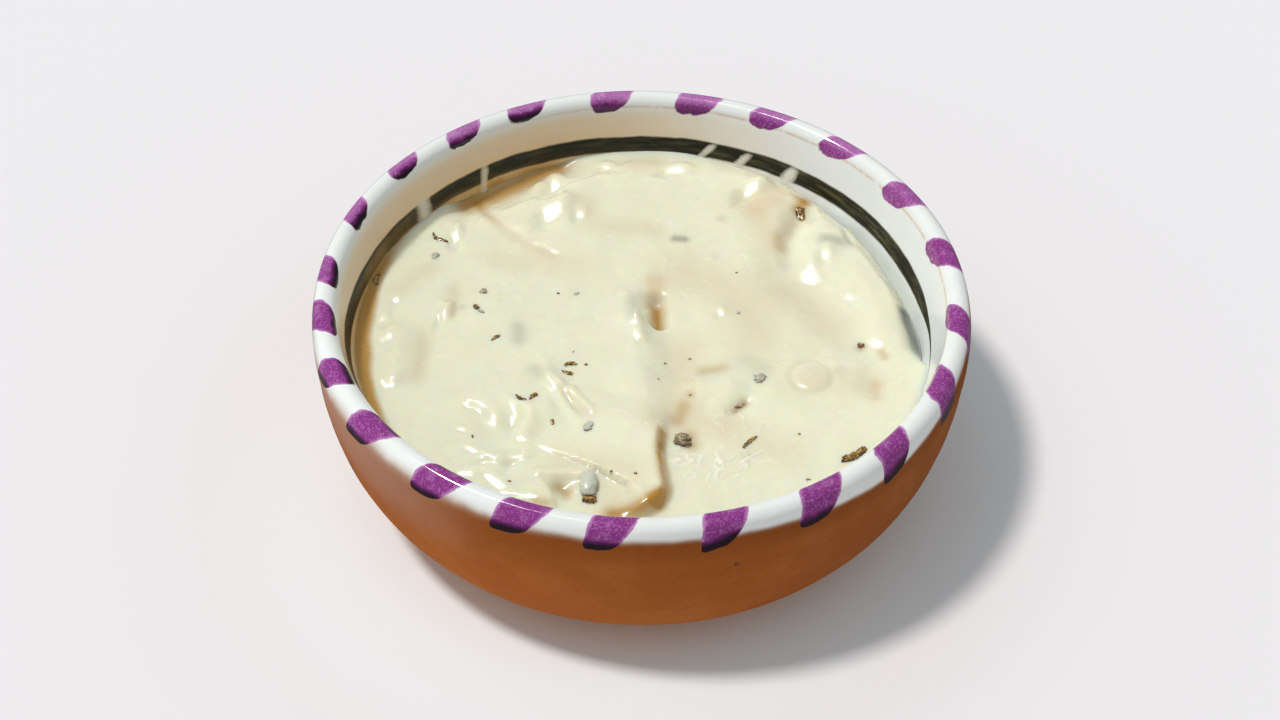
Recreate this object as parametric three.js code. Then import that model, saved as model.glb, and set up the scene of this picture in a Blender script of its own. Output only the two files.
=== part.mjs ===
// A small round earthenware bowl, filled with a thick garlic herb sauce.
// Millimetres, +Z up. The origin is the middle of the bowl's flat base.

import * as THREE from 'three';

// ---------------------------------------------------------------- driving dimensions

const SEGMENTS = 72;              // flats around every round surface

// The bowl's section, from the base up the outside, over the lip and down the inside.
const BOWL_HEIGHT = 45;           // floor to the crest of the lip
const RIM_RADIUS = 65;            // about where the lip is widest
const LIP_ROUND = 2.25;           // radius of the rounded lip
const LIP_START = 18;             // degrees, where the outer wall turns into the lip
const LIP_END = 162;              // degrees, where the lip turns into the inner wall
const LIP_STEPS = 8;              // flats around the lip
const SHOULDER_RADIUS = 65.5;     // the fullest point of the outer wall
const SHOULDER_DROP = 5.8;        // the shoulder's depth below the crest
const BASE_RADIUS = 40;           // flat base
const BASE_ROUND = 1.2;           // softened corner around the base
const BELLY_HANDLE = 22;          // how far the outer wall stays upright below the shoulder
const BASE_HANDLE = 17;           // how far it sweeps inwards along the base
const BASE_LIFT = 1.4;            // rise of the belly's lower handle above the base corner
const INNER_HANDLE = 19.5;        // how far the inner wall stays steep below the lip
const WELL_HANDLE = 28;           // how far it sweeps inwards along the well
const WELL_RADIUS = 26;           // where the inner wall has levelled out
const WELL_HEIGHT = 7;            // thickness of the bowl's bottom at that radius
const WELL_DISH = 0.4;            // how much lower the well is in its middle

// The sauce.
const WALL_GAP = 0.3;             // clearance between the sauce and the bowl
const SAUCE_LEVEL = 32.4;         // mean height of its surface above the floor
const SHOULDER_WIDTH = 6;         // how far from the wall the surface starts to turn down
const SURFACE_RINGS = 22;         // rings of the uneven surface
const RING_CROWDING = 1.35;       // above 1 sets the outer rings closer together
const SIDE_RINGS = 8;             // rings down the side and along the bottom
const PATH_STEPS = 24;            // straight steps along each spoon mark
const TAPER = 0.22;               // share of a spoon mark that fades out at either end

// Height of the sauce's edge on the wall, above the floor, at some angles from +X.
const EDGE_HEIGHTS = [
  [-60, 31.4], [-5, 30.0], [20, 27.8], [38, 29.2], [62, 31.6], [85, 33.4],
  [108, 31.6], [128, 29.6], [150, 31.2], [185, 30.6], [240, 31.0],
];

// Spoon marks, each along a short curve over the surface. A step lifts the sauce on the left of
// the way the curve runs, over the width of its edge, and dies away over its reach. A ridge is a
// narrow band along the curve, and a negative one is a groove.
const STEPS = [
  { name: 'front tongue', lift: 3.4, edge: 3.0, reach: 24,
    path: [[-2, -55], [4.5, -47], [5, -38], [3, -28], [3.5, -17], [1, -5], [3, 6], [-3, 20]] },
  { name: 'back mass', lift: 1.6, edge: 4.5, reach: 30,
    path: [[10, 17], [-6, 19], [-17, 21], [-26, 28], [-34, 37], [-36, 50]], flip: true },
  { name: 'right-hand mass', lift: 1.8, edge: 4, reach: 18,
    path: [[50, 12], [44, 26], [37, 32], [34, 40], [29, 53]] },
  { name: 'small flap', lift: 1.8, edge: 1.8, reach: 9,
    path: [[-17, -54], [-16, -45], [-18, -41], [-24, -39]] },
];
const RIDGES = [
  { name: 'back crease', lift: -1.3, width: 2.0, path: [[-35, 47], [-34, 37], [-26, 28], [-17, 21], [-5, 19]] },
  { name: 'front crest', lift: 1.0, width: 2.2, path: [[-21, -9], [-17, -17], [-13, -23], [-8, -30]] },
  { name: 'left groove', lift: -0.8, width: 2.4, path: [[-46, 4], [-45, -8], [-48, -19]] },
  { name: 'upper left groove', lift: -0.7, width: 2.2, path: [[-38.5, 17], [-38, 8], [-40, 0]] },
  { name: 'right valley', lift: -1.0, width: 5.5, path: [[26, 20], [34, 11], [41, -2]] },
  { name: 'mound crease', lift: -0.9, width: 2.0, path: [[20, -8], [12, -10.5], [9, -16], [6, -24]] },
];
const MOUNDS = [
  { name: 'grey lump', at: [-1.5, 6], size: [3.2, 6], turn: 12, lift: 1.6 },
  { name: 'pit beside it', at: [3.8, 5.5], size: [2.2, 5], turn: 8, lift: -2.2 },
  { name: 'low mound', at: [15, -15.5], size: [5, 4.5], turn: -20, lift: 1.1 },
  { name: 'round mound', at: [34, -12], size: [4.6, 4.2], turn: 0, lift: 0.7 },
  { name: 'hollow by the back wall', at: [-28, 46], size: [13, 5], turn: 32, lift: -2.6 },
  { name: 'right-hand swell', at: [40, 14], size: [6, 15], turn: 28, lift: 1.2 },
  { name: 'left-hand swell', at: [-30, -2], size: [18, 22], turn: 0, lift: 1.0 },
  { name: 'back swell', at: [6, 40], size: [22, 12], turn: 0, lift: 1.0 },
];

// ---------------------------------------------------------------- the bowl's section

const lipCentre = new THREE.Vector2(RIM_RADIUS - LIP_ROUND, BOWL_HEIGHT - LIP_ROUND);

function onLip(degrees) {
  const angle = THREE.MathUtils.degToRad(degrees);
  const outward = new THREE.Vector2(Math.cos(angle), Math.sin(angle));
  return {
    point: lipCentre.clone().addScaledVector(outward, LIP_ROUND),
    tangent: new THREE.Vector2(-outward.y, outward.x),
  };
}

function bellyCurve() {
  const shoulder = new THREE.Vector2(SHOULDER_RADIUS, BOWL_HEIGHT - SHOULDER_DROP);
  return new THREE.CubicBezierCurve(
    new THREE.Vector2(BASE_RADIUS, BASE_ROUND * 0.5),
    new THREE.Vector2(BASE_RADIUS + BASE_HANDLE, BASE_ROUND * 0.5 + BASE_LIFT),
    new THREE.Vector2(shoulder.x, shoulder.y - BELLY_HANDLE),
    shoulder,
  );
}

function shoulderCurve() {
  const shoulder = new THREE.Vector2(SHOULDER_RADIUS, BOWL_HEIGHT - SHOULDER_DROP);
  const lip = onLip(LIP_START);
  const handle = shoulder.distanceTo(lip.point) / 3;
  return new THREE.CubicBezierCurve(
    shoulder,
    shoulder.clone().add(new THREE.Vector2(0, handle)),
    lip.point.clone().addScaledVector(lip.tangent, -handle),
    lip.point,
  );
}

function innerWallCurve() {
  const lip = onLip(LIP_END);
  return new THREE.CubicBezierCurve(
    lip.point,
    lip.point.clone().addScaledVector(lip.tangent, INNER_HANDLE),
    new THREE.Vector2(WELL_RADIUS + WELL_HANDLE, WELL_HEIGHT),
    new THREE.Vector2(WELL_RADIUS, WELL_HEIGHT),
  );
}

function bowlProfile() {
  const lipPoints = [];
  for (let i = 1; i < LIP_STEPS; i += 1) {
    lipPoints.push(onLip(THREE.MathUtils.lerp(LIP_START, LIP_END, i / LIP_STEPS)).point);
  }
  return [
    new THREE.Vector2(0, 0),
    new THREE.Vector2(BASE_RADIUS - BASE_ROUND, 0),
    ...bellyCurve().getPoints(11),
    ...shoulderCurve().getPoints(2).slice(1),
    ...lipPoints,
    ...innerWallCurve().getPoints(9),
    new THREE.Vector2(0, WELL_HEIGHT - WELL_DISH),
  ];
}

function bowlGeometry() {
  const geometry = new THREE.LatheGeometry(bowlProfile(), SEGMENTS);
  return geometry.rotateX(Math.PI / 2);
}

// ---------------------------------------------------------------- the sauce's surface

function prepare(mark) {
  const points = mark.path.map(([x, y]) => new THREE.Vector3(x, y, 0));
  return { ...mark, line: new THREE.CatmullRomCurve3(points).getPoints(PATH_STEPS) };
}

// The nearest place on a mark: its distance, positive on the left, and its share of the way along.
function nearest(line, x, y) {
  let best = { distance: Infinity, along: 0 };
  for (let i = 0; i + 1 < line.length; i += 1) {
    const dx = line[i + 1].x - line[i].x;
    const dy = line[i + 1].y - line[i].y;
    const px = x - line[i].x;
    const py = y - line[i].y;
    const share = THREE.MathUtils.clamp((px * dx + py * dy) / (dx * dx + dy * dy), 0, 1);
    const distance = Math.hypot(px - share * dx, py - share * dy);
    if (distance < Math.abs(best.distance)) {
      const side = dx * py - dy * px >= 0 ? 1 : -1;
      best = { distance: side * distance, along: (i + share) / (line.length - 1) };
    }
  }
  return best;
}

function fadeAtEnds(along) {
  const { smoothstep } = THREE.MathUtils;
  return smoothstep(along, 0, TAPER) * smoothstep(1 - along, 0, TAPER);
}

function stepHeight(mark, x, y) {
  const { distance, along } = nearest(mark.line, x, y);
  const inside = mark.flip ? -distance : distance;
  const rise = THREE.MathUtils.smoothstep(inside, -mark.edge / 2, mark.edge / 2);
  const past = Math.max(0, inside) / mark.reach;
  return mark.lift * rise * Math.exp(-past * past) * fadeAtEnds(along);
}

function ridgeHeight(mark, x, y) {
  const { distance, along } = nearest(mark.line, x, y);
  const across = distance / mark.width;
  return mark.lift * Math.exp(-across * across) * fadeAtEnds(along);
}

function moundHeight(mound, x, y) {
  const turn = THREE.MathUtils.degToRad(mound.turn);
  const dx = x - mound.at[0];
  const dy = y - mound.at[1];
  const u = (dx * Math.cos(turn) + dy * Math.sin(turn)) / mound.size[0];
  const v = (dy * Math.cos(turn) - dx * Math.sin(turn)) / mound.size[1];
  return mound.lift * Math.exp(-u * u - v * v);
}

const steps = STEPS.map(prepare);
const ridges = RIDGES.map(prepare);

function openHeight(x, y) {
  const add = (marks, height) => marks.reduce((sum, mark) => sum + height(mark, x, y), 0);
  return SAUCE_LEVEL + add(steps, stepHeight) + add(ridges, ridgeHeight) + add(MOUNDS, moundHeight);
}

function edgeHeight(degrees) {
  const first = EDGE_HEIGHTS[0][0];
  const turn = THREE.MathUtils.euclideanModulo(degrees - first, 360) + first;
  const next = EDGE_HEIGHTS.findIndex(([angle]) => angle > turn);
  const [angleB, heightB] = next < 0 ? [first + 360, EDGE_HEIGHTS[0][1]] : EDGE_HEIGHTS[next];
  const [angleA, heightA] = EDGE_HEIGHTS.at(next < 0 ? -1 : next - 1);
  const share = THREE.MathUtils.smoothstep(turn, angleA, angleB);
  return THREE.MathUtils.lerp(heightA, heightB, share);
}

// ---------------------------------------------------------------- the sauce as a solid

const wall = innerWallCurve();

// A point of the sauce's own skin, one gap inside the bowl's inner wall.
function skinPoint(share) {
  const tangent = wall.getTangent(share);
  return wall.getPoint(share).add(new THREE.Vector2(tangent.y, -tangent.x).multiplyScalar(WALL_GAP));
}

function shareAtHeight(height) {
  let low = 0;
  let high = 1;
  for (let i = 0; i < 40; i += 1) {
    const middle = (low + high) / 2;
    if (skinPoint(middle).y > height) {
      low = middle;
    } else {
      high = middle;
    }
  }
  return (low + high) / 2;
}

// One radial section of the sauce: across its surface to the wall, then down the wall and inwards.
function sauceSection(degrees) {
  const angle = THREE.MathUtils.degToRad(degrees);
  const share = shareAtHeight(edgeHeight(degrees));
  const edge = skinPoint(share);
  const section = [];
  for (let i = 1; i <= SURFACE_RINGS; i += 1) {
    const radius = edge.x * (1 - (1 - i / SURFACE_RINGS) ** RING_CROWDING);
    const open = openHeight(radius * Math.cos(angle), radius * Math.sin(angle));
    const inwards = Math.min(1, (edge.x - radius) / SHOULDER_WIDTH);
    const turned = Math.sqrt(1 - (1 - inwards) ** 2);
    section.push(new THREE.Vector2(radius, THREE.MathUtils.lerp(edge.y, open, turned)));
  }
  for (let i = 1; i <= SIDE_RINGS; i += 1) {
    section.push(skinPoint(THREE.MathUtils.lerp(share, 1, i / SIDE_RINGS)));
  }
  return section.map((p) => [p.x * Math.cos(angle), p.x * Math.sin(angle), p.y]);
}

function sauceGeometry() {
  const sections = [];
  for (let i = 0; i < SEGMENTS; i += 1) {
    sections.push(sauceSection((i * 360) / SEGMENTS));
  }
  const rings = sections[0].length;
  const positions = sections.flat(2);
  const top = SEGMENTS * rings;
  const bottom = top + 1;
  positions.push(0, 0, openHeight(0, 0), 0, 0, WELL_HEIGHT - WELL_DISH + WALL_GAP);
  const indices = [];
  for (let i = 0; i < SEGMENTS; i += 1) {
    const here = i * rings;
    const next = ((i + 1) % SEGMENTS) * rings;
    indices.push(top, here, next);
    for (let j = 0; j + 1 < rings; j += 1) {
      indices.push(here + j, here + j + 1, next + j);
      indices.push(next + j, here + j + 1, next + j + 1);
    }
    indices.push(bottom, next + rings - 1, here + rings - 1);
  }
  const geometry = new THREE.BufferGeometry();
  geometry.setAttribute('position', new THREE.Float32BufferAttribute(positions, 3));
  geometry.setIndex(indices);
  geometry.computeVertexNormals();
  return geometry;
}

// ---------------------------------------------------------------- the part

function piece(name, geometry, material) {
  const mesh = new THREE.Mesh(geometry, material);
  mesh.name = name;
  return mesh;
}

const earthenware = new THREE.MeshStandardMaterial({ color: 0xb5683a, roughness: 0.75, metalness: 0 });
const cream = new THREE.MeshStandardMaterial({ color: 0xebeccb, roughness: 0.3, metalness: 0 });

const part = new THREE.Group();
part.name = 'bowl_of_garlic_herb_sauce';
part.add(piece('bowl', bowlGeometry(), earthenware));
part.add(piece('sauce', sauceGeometry(), cream));

export default part;
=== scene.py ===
"""A hand-painted earthenware bowl of garlic herb sauce, on a plain pale floor.

The bowl is red clay, glazed white inside and over the lip, with purple dabs painted across the
rim and a dark ring inside. The sauce is thick, glossy and full of spoon marks, with chopped herbs
in it. Lengths are millimetres, and become Blender's metres only where a mesh or a lamp is made.
The origin is the middle of the bowl's flat base, with +Z up and -Y towards the viewer. Angles
round the bowl are from +X. "Run" is how far over the lip a place of the bowl lies, along its
section: 0 on the crest, above it outside and below it inside.
"""

import logging
import math
from collections.abc import Callable, Mapping
from dataclasses import dataclass, field
from enum import Enum
from typing import ClassVar

import bpy
import numpy as np
from mathutils import Matrix, Vector


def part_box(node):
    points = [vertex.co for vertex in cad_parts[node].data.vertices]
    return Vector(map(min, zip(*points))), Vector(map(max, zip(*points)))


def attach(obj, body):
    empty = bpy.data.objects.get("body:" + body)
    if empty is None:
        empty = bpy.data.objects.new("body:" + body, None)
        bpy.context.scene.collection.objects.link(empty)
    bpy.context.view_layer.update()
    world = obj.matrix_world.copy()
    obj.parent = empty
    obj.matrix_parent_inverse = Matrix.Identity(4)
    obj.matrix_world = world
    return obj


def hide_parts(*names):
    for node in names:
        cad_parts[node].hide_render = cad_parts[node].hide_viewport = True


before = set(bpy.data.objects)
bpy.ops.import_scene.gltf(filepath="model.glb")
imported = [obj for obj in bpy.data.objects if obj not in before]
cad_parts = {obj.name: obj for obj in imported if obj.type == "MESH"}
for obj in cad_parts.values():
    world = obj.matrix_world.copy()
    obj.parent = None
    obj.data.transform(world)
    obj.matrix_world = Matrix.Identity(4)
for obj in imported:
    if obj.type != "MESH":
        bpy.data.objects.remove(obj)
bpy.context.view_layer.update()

LOG = logging.getLogger("sauce_bowl")
MM = 0.001
BODY = "root"

Numbers = np.ndarray     # a number for each place, in an array of any shape
Points = np.ndarray      # points, one a row


# ---------------------------------------------------------------------------- Shader maths


class Signal:
    """A shader socket on which Python's operators add Math nodes."""

    def __init__(self, board: "Board", socket: bpy.types.NodeSocket) -> None:
        """Wraps an output socket of one of the board's nodes."""
        self.board = board
        self.socket = socket

    def output(self, name: str) -> "Signal":
        """Another output of the same node."""
        return Signal(self.board, self.socket.node.outputs[name])

    def _math(self, operation: str, *values: "Value", clamp: bool = False) -> "Signal":
        """A Math node's result, held between 0 and 1 where clamp is true."""
        settings = {"operation": operation, "use_clamp": clamp}
        return self.board.node("ShaderNodeMath", settings, dict(enumerate(values)))

    def __add__(self, other: "Value") -> "Signal":
        """self + other."""
        return self._math("ADD", self, other)

    __radd__ = __add__

    def __sub__(self, other: "Value") -> "Signal":
        """self - other."""
        return self._math("SUBTRACT", self, other)

    def __rsub__(self, other: "Value") -> "Signal":
        """other - self."""
        return self._math("SUBTRACT", other, self)

    def __mul__(self, other: "Value") -> "Signal":
        """self * other."""
        return self._math("MULTIPLY", self, other)

    __rmul__ = __mul__

    def __pow__(self, other: "Value") -> "Signal":
        """self to the power of other."""
        return self._math("POWER", self, other)

    def __abs__(self) -> "Signal":
        """The size of self without its sign."""
        return self._math("ABSOLUTE", self)

    def at_least(self, other: "Value") -> "Signal":
        """The larger of self and other."""
        return self._math("MAXIMUM", self, other)

    def held(self) -> "Signal":
        """self held between 0 and 1."""
        return self._math("ADD", self, 0.0, clamp=True)

    def ramp(self, low: float, high: float) -> "Signal":
        """A smooth rise from 0 at low to 1 at high, or a fall where high is below low.

        Args:
            low: Where the result is 0.
            high: Where the result is 1.

        Returns:
            The rise, between 0 and 1.
        """
        settings = {"interpolation_type": "SMOOTHSTEP"}
        sockets = {"Value": self, "From Min": low, "From Max": high, "To Min": 0.0, "To Max": 1.0}
        return self.board.node("ShaderNodeMapRange", settings, sockets)


Colour = tuple[float, float, float]
Value = Signal | float | tuple[float, ...]


class Board:
    """The node tree of one material or world, filled a node at a time."""

    mix_sockets: ClassVar[tuple[int, int, int]] = (0, 6, 7)    # factor, first and second colour

    def __init__(self, owner: bpy.types.Material | bpy.types.World) -> None:
        """Empties the owner's node tree.

        Args:
            owner: The material or world.
        """
        owner.use_nodes = True
        self.owner, self.tree = owner, owner.node_tree
        self.tree.nodes.clear()

    @classmethod
    def of_material(cls, name: str) -> "Board":
        """The empty board of a new material."""
        return cls(bpy.data.materials.new(name))

    def node(self, kind: str, settings: Mapping[str, object] | None = None,
             sockets: Mapping[int | str, Value] | None = None) -> Signal | None:
        """Adds a node.

        Args:
            kind: The node's Blender type.
            settings: Its own settings, set first.
            sockets: Values or links for its input sockets, by name or number.

        Returns:
            Its first enabled output, or None where it has none.
        """
        made = self.tree.nodes.new(kind)
        for name, setting in (settings or {}).items():
            setattr(made, name, setting)
        for name, value in (sockets or {}).items():
            self._feed(made.inputs[name], value)
        return next((Signal(self, socket) for socket in made.outputs if socket.enabled), None)

    def _feed(self, socket: bpy.types.NodeSocket, value: Value) -> None:
        """Links a signal to a socket, or sets the socket's own value.

        Args:
            socket: An input socket.
            value: The signal, number, colour or vector.
        """
        if isinstance(value, Signal):
            self.tree.links.new(value.socket, socket)
        elif isinstance(value, tuple) and socket.type == "RGBA":
            socket.default_value = (*value, 1.0)
        else:
            socket.default_value = value

    def place(self) -> Signal:
        """Where a point lies on the object, in metres."""
        return self.node("ShaderNodeTexCoord").output("Object")

    def stored(self, name: str) -> Signal:
        """A number that the mesh holds at its points or corners."""
        return self.node("ShaderNodeAttribute", {"attribute_name": name}).output("Fac")

    def place_by(self, operation: str, vector: Colour) -> Signal:
        """The place on the object, combined with a vector by a Vector Math operation."""
        return self.node("ShaderNodeVectorMath", {"operation": operation}, {0: self.place(), 1: vector})

    def noise(self, size: float, detail: float = 2.0, rough: float = 0.5,
              stretch: Colour | None = None) -> Signal:
        """Smooth noise from about 0 to 1.

        Args:
            size: The width of one blot, in millimetres.
            detail: How many finer layers it has.
            rough: The strength of the finer layers.
            stretch: How much faster than usual it varies along each axis.

        Returns:
            The noise, with a mean near 0.5.
        """
        vector = self.place_by("MULTIPLY", stretch) if stretch else self.place()
        sockets = {"Vector": vector, "Scale": 1.0 / (size * MM), "Detail": detail, "Roughness": rough}
        return self.node("ShaderNodeTexNoise", None, sockets)

    def mix(self, factor: Value, first: Value, second: Value) -> Signal:
        """A blend from the first colour to the second."""
        sockets = dict(zip(self.mix_sockets, (factor, first, second)))
        return self.node("ShaderNodeMix", {"data_type": "RGBA"}, sockets)

    def bump(self, height: Signal, depth: float, strength: float) -> Signal:
        """A normal tilted by relief that is depth millimetres high, as far as strength keeps it."""
        sockets = {"Height": height, "Distance": depth * MM, "Strength": strength}
        return self.node("ShaderNodeBump", None, sockets)

    def surface(self, **sockets: Value) -> Signal:
        """A surface shader. Its inputs have underscores for the blanks in their names."""
        named = {name.replace("_", " "): value for name, value in sockets.items()}
        return self.node("ShaderNodeBsdfPrincipled", None, named)

    def close(self, shader: Signal, kind: str = "ShaderNodeOutputMaterial") -> bpy.types.ID:
        """Ends the tree in a shader and gives its owner back."""
        self.node(kind, None, {"Surface": shader})
        return self.owner


@dataclass(frozen=True)
class Blots:
    """Soft blots that cover part of a surface."""

    size: float                  # the width of one
    low: float                   # the level of the noise at which a blot starts
    high: float                  # the level at which it is full
    amount: float = 1.0
    detail: float = 3.0
    rough: float = 0.5
    stretch: Colour | None = None

    def mask(self, board: Board) -> Signal:
        """How strong the blots are at a place, from 0 to their amount."""
        blots = board.noise(self.size, self.detail, self.rough, self.stretch).ramp(self.low, self.high)
        return blots if self.amount == 1.0 else blots * self.amount


# ---------------------------------------------------------------------------------- Shapes


def smooth(value: Numbers, low: float, high: float) -> Numbers:
    """A smooth rise from 0 at low to 1 at high."""
    share = np.clip((value - low) / (high - low), 0.0, 1.0)
    return share * share * (3.0 - 2.0 * share)


def aside(degrees: Numbers, middle: Numbers | float) -> Numbers:
    """How far an angle lies from another, between -180 and 180 degrees."""
    return (degrees - middle + 180.0) % 360.0 - 180.0


def bell(away: Numbers, spread: float) -> Numbers:
    """A soft fall from 1, where away is 0, towards 0 on both sides."""
    return np.exp(-((away / spread) ** 2))


def hump(degrees: Numbers, middle: Numbers | float, spread: float) -> Numbers:
    """A soft hump round the bowl, 1 in its middle."""
    return bell(aside(degrees, middle), spread)


@dataclass(frozen=True)
class Grain:
    """Smooth seeded unevenness over a plane, about -1 to 1."""

    seed: int
    size: float                  # the width of one lump
    layers: int = 1
    table: ClassVar[int] = 256
    fading: ClassVar[float] = 1.7      # how much weaker each finer layer is
    gain: ClassVar[float] = 1.5        # brings one layer to about -1 to 1

    def __call__(self, x: Numbers, y: Numbers) -> Numbers:
        """The unevenness at some places.

        Args:
            x: First coordinate of each place.
            y: Second coordinate of each place.

        Returns:
            The unevenness at each place.
        """
        total = np.zeros(np.broadcast(x, y).shape)
        for layer in range(self.layers):
            scale = 2.0**layer / self.size
            total += self._layer(x * scale, y * scale, self.seed + layer) / self.fading**layer
        return total

    def _layer(self, x: Numbers, y: Numbers, seed: int) -> Numbers:
        """One layer of gradient noise with lumps one unit wide.

        Args:
            x: First coordinate of each place.
            y: Second coordinate of each place.
            seed: Picks the gradients.

        Returns:
            The noise at each place.
        """
        random = np.random.default_rng(seed)
        order = random.permutation(self.table)
        turns = random.uniform(0.0, 2.0 * np.pi, self.table)
        column, row = np.floor(x).astype(int), np.floor(y).astype(int)
        u, v = x - column, y - row
        fade_u, fade_v = (t**3 * (t * (6 * t - 15) + 10) for t in (u, v))

        def corner(right: int, up: int) -> Numbers:
            """The gradient of one corner of the cell, read at the place."""
            turn = turns[order[(order[(column + right) % self.table] + row + up) % self.table]]
            return np.cos(turn) * (u - right) + np.sin(turn) * (v - up)

        lower = corner(0, 0) + fade_u * (corner(1, 0) - corner(0, 0))
        upper = corner(0, 1) + fade_u * (corner(1, 1) - corner(0, 1))
        return self.gain * (lower + fade_v * (upper - lower))


def bezier(start: Points, first: Points, second: Points, end: Points, count: int) -> Points:
    """Points along a cubic curve, its two ends included.

    Args:
        start: The first end.
        first: The handle of the first end.
        second: The handle of the second end.
        end: The second end.
        count: How many points.

    Returns:
        The points.
    """
    t = np.linspace(0.0, 1.0, count)[:, None]
    s = 1.0 - t
    ends = s**3 * np.asarray(start) + t**3 * np.asarray(end)
    return ends + 3 * s * s * t * np.asarray(first) + 3 * s * t * t * np.asarray(second)


def flowing(points: Points, count: int) -> Points:
    """A smooth line through some points of a plane.

    Args:
        points: The points it passes through.
        count: How many points the line gets.

    Returns:
        The line's points.
    """
    padded = np.vstack([2 * points[0] - points[1], points, 2 * points[-1] - points[-2]])
    places = np.linspace(0.0, len(points) - 1.0, count)
    index = np.minimum(places.astype(int), len(points) - 2)
    t = (places - index)[:, None]
    a, b, c, d = (padded[index + i] for i in range(4))
    bend = (2 * a - 5 * b + 4 * c - d) * t**2 + (3 * b - a - 3 * c + d) * t**3
    return 0.5 * (2 * b + (c - a) * t + bend)


@dataclass
class Form:
    """Points and faces of one piece, gathered before they become a mesh."""

    points: list[Points] = field(default_factory=list)
    faces: list[list[int]] = field(default_factory=list)
    numbers: dict[str, list[Numbers]] = field(default_factory=dict)
    count: int = 0

    def sheet(self, points: Points) -> None:
        """Adds one flat face.

        Args:
            points: Its corners, in order.
        """
        self.points.append(points)
        self.faces.append(list(range(self.count, self.count + len(points))))
        self.count += len(points)

    def tube(self, rings: Points, ends: Points, turned: bool = False, **numbers: Numbers | float) -> None:
        """Adds a closed surface made of rings of points, with a point at each end.

        Args:
            rings: The points of each ring, a ring a row.
            ends: The point before the first ring and the point after the last.
            turned: Whether the faces are turned over.
            numbers: Under each name, one number for all the points, or one for each point from
                the first on, with 0 for the rest.
        """
        count, around = rings.shape[:2]
        size, last = count * around + 2, (count - 1) * around
        self.points.append(np.vstack([rings.reshape(-1, 3), ends]))
        column = np.arange(around)
        beside = (column + 1) % around
        ring = (np.arange(count - 1) * around)[:, None]
        here, there = ring + column, ring + beside
        quads = np.stack([here, there, there + around, here + around], -1).reshape(-1, 4)
        start, end = (np.full(around, index) for index in (size - 2, size - 1))
        first = np.stack([start, beside, column], -1)
        final = np.stack([end, last + column, last + beside], -1)
        for patch in (quads, first, final):
            self.faces.extend(((patch[:, ::-1] if turned else patch) + self.count).tolist())
        for name, value in numbers.items():
            given = np.full(size, value) if np.ndim(value) == 0 else np.ravel(value)
            filled = np.append(given, np.zeros(size - len(given)))
            self.numbers.setdefault(name, []).append(filled)
        self.count += size

    def build(self, name: str) -> bpy.types.Object:
        """Makes the mesh object, smooth shaded.

        Args:
            name: The object's name.

        Returns:
            The object, linked to the scene.
        """
        mesh = bpy.data.meshes.new(name)
        mesh.from_pydata((np.vstack(self.points) * MM).tolist(), [], self.faces)
        for label, values in self.numbers.items():
            stored = mesh.attributes.new(label, "FLOAT", "POINT")
            stored.data.foreach_set("value", np.concatenate(values).astype(np.float32))
        mesh.validate()
        mesh.shade_smooth()
        return show(bpy.data.objects.new(name, mesh))


def show(made: bpy.types.Object) -> bpy.types.Object:
    """Links an object to the scene."""
    bpy.context.scene.collection.objects.link(made)
    return made


def present(piece: bpy.types.Object, material: bpy.types.Material, slot: str, *replaced: str) -> None:
    """Gives a piece its finish and ties it to the frame.

    Args:
        piece: The finished piece.
        material: Its material.
        slot: The record's material slot that it stands for; not used.
        replaced: The frame's nodes that it stands in for.
    """
    piece.data.materials.append(material)
    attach(piece, BODY)
    if replaced:
        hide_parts(*replaced)
    LOG.info("%s: %d points, %d faces", piece.name, len(piece.data.vertices), len(piece.data.polygons))


# -------------------------------------------------------------------------------- Finishes


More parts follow.
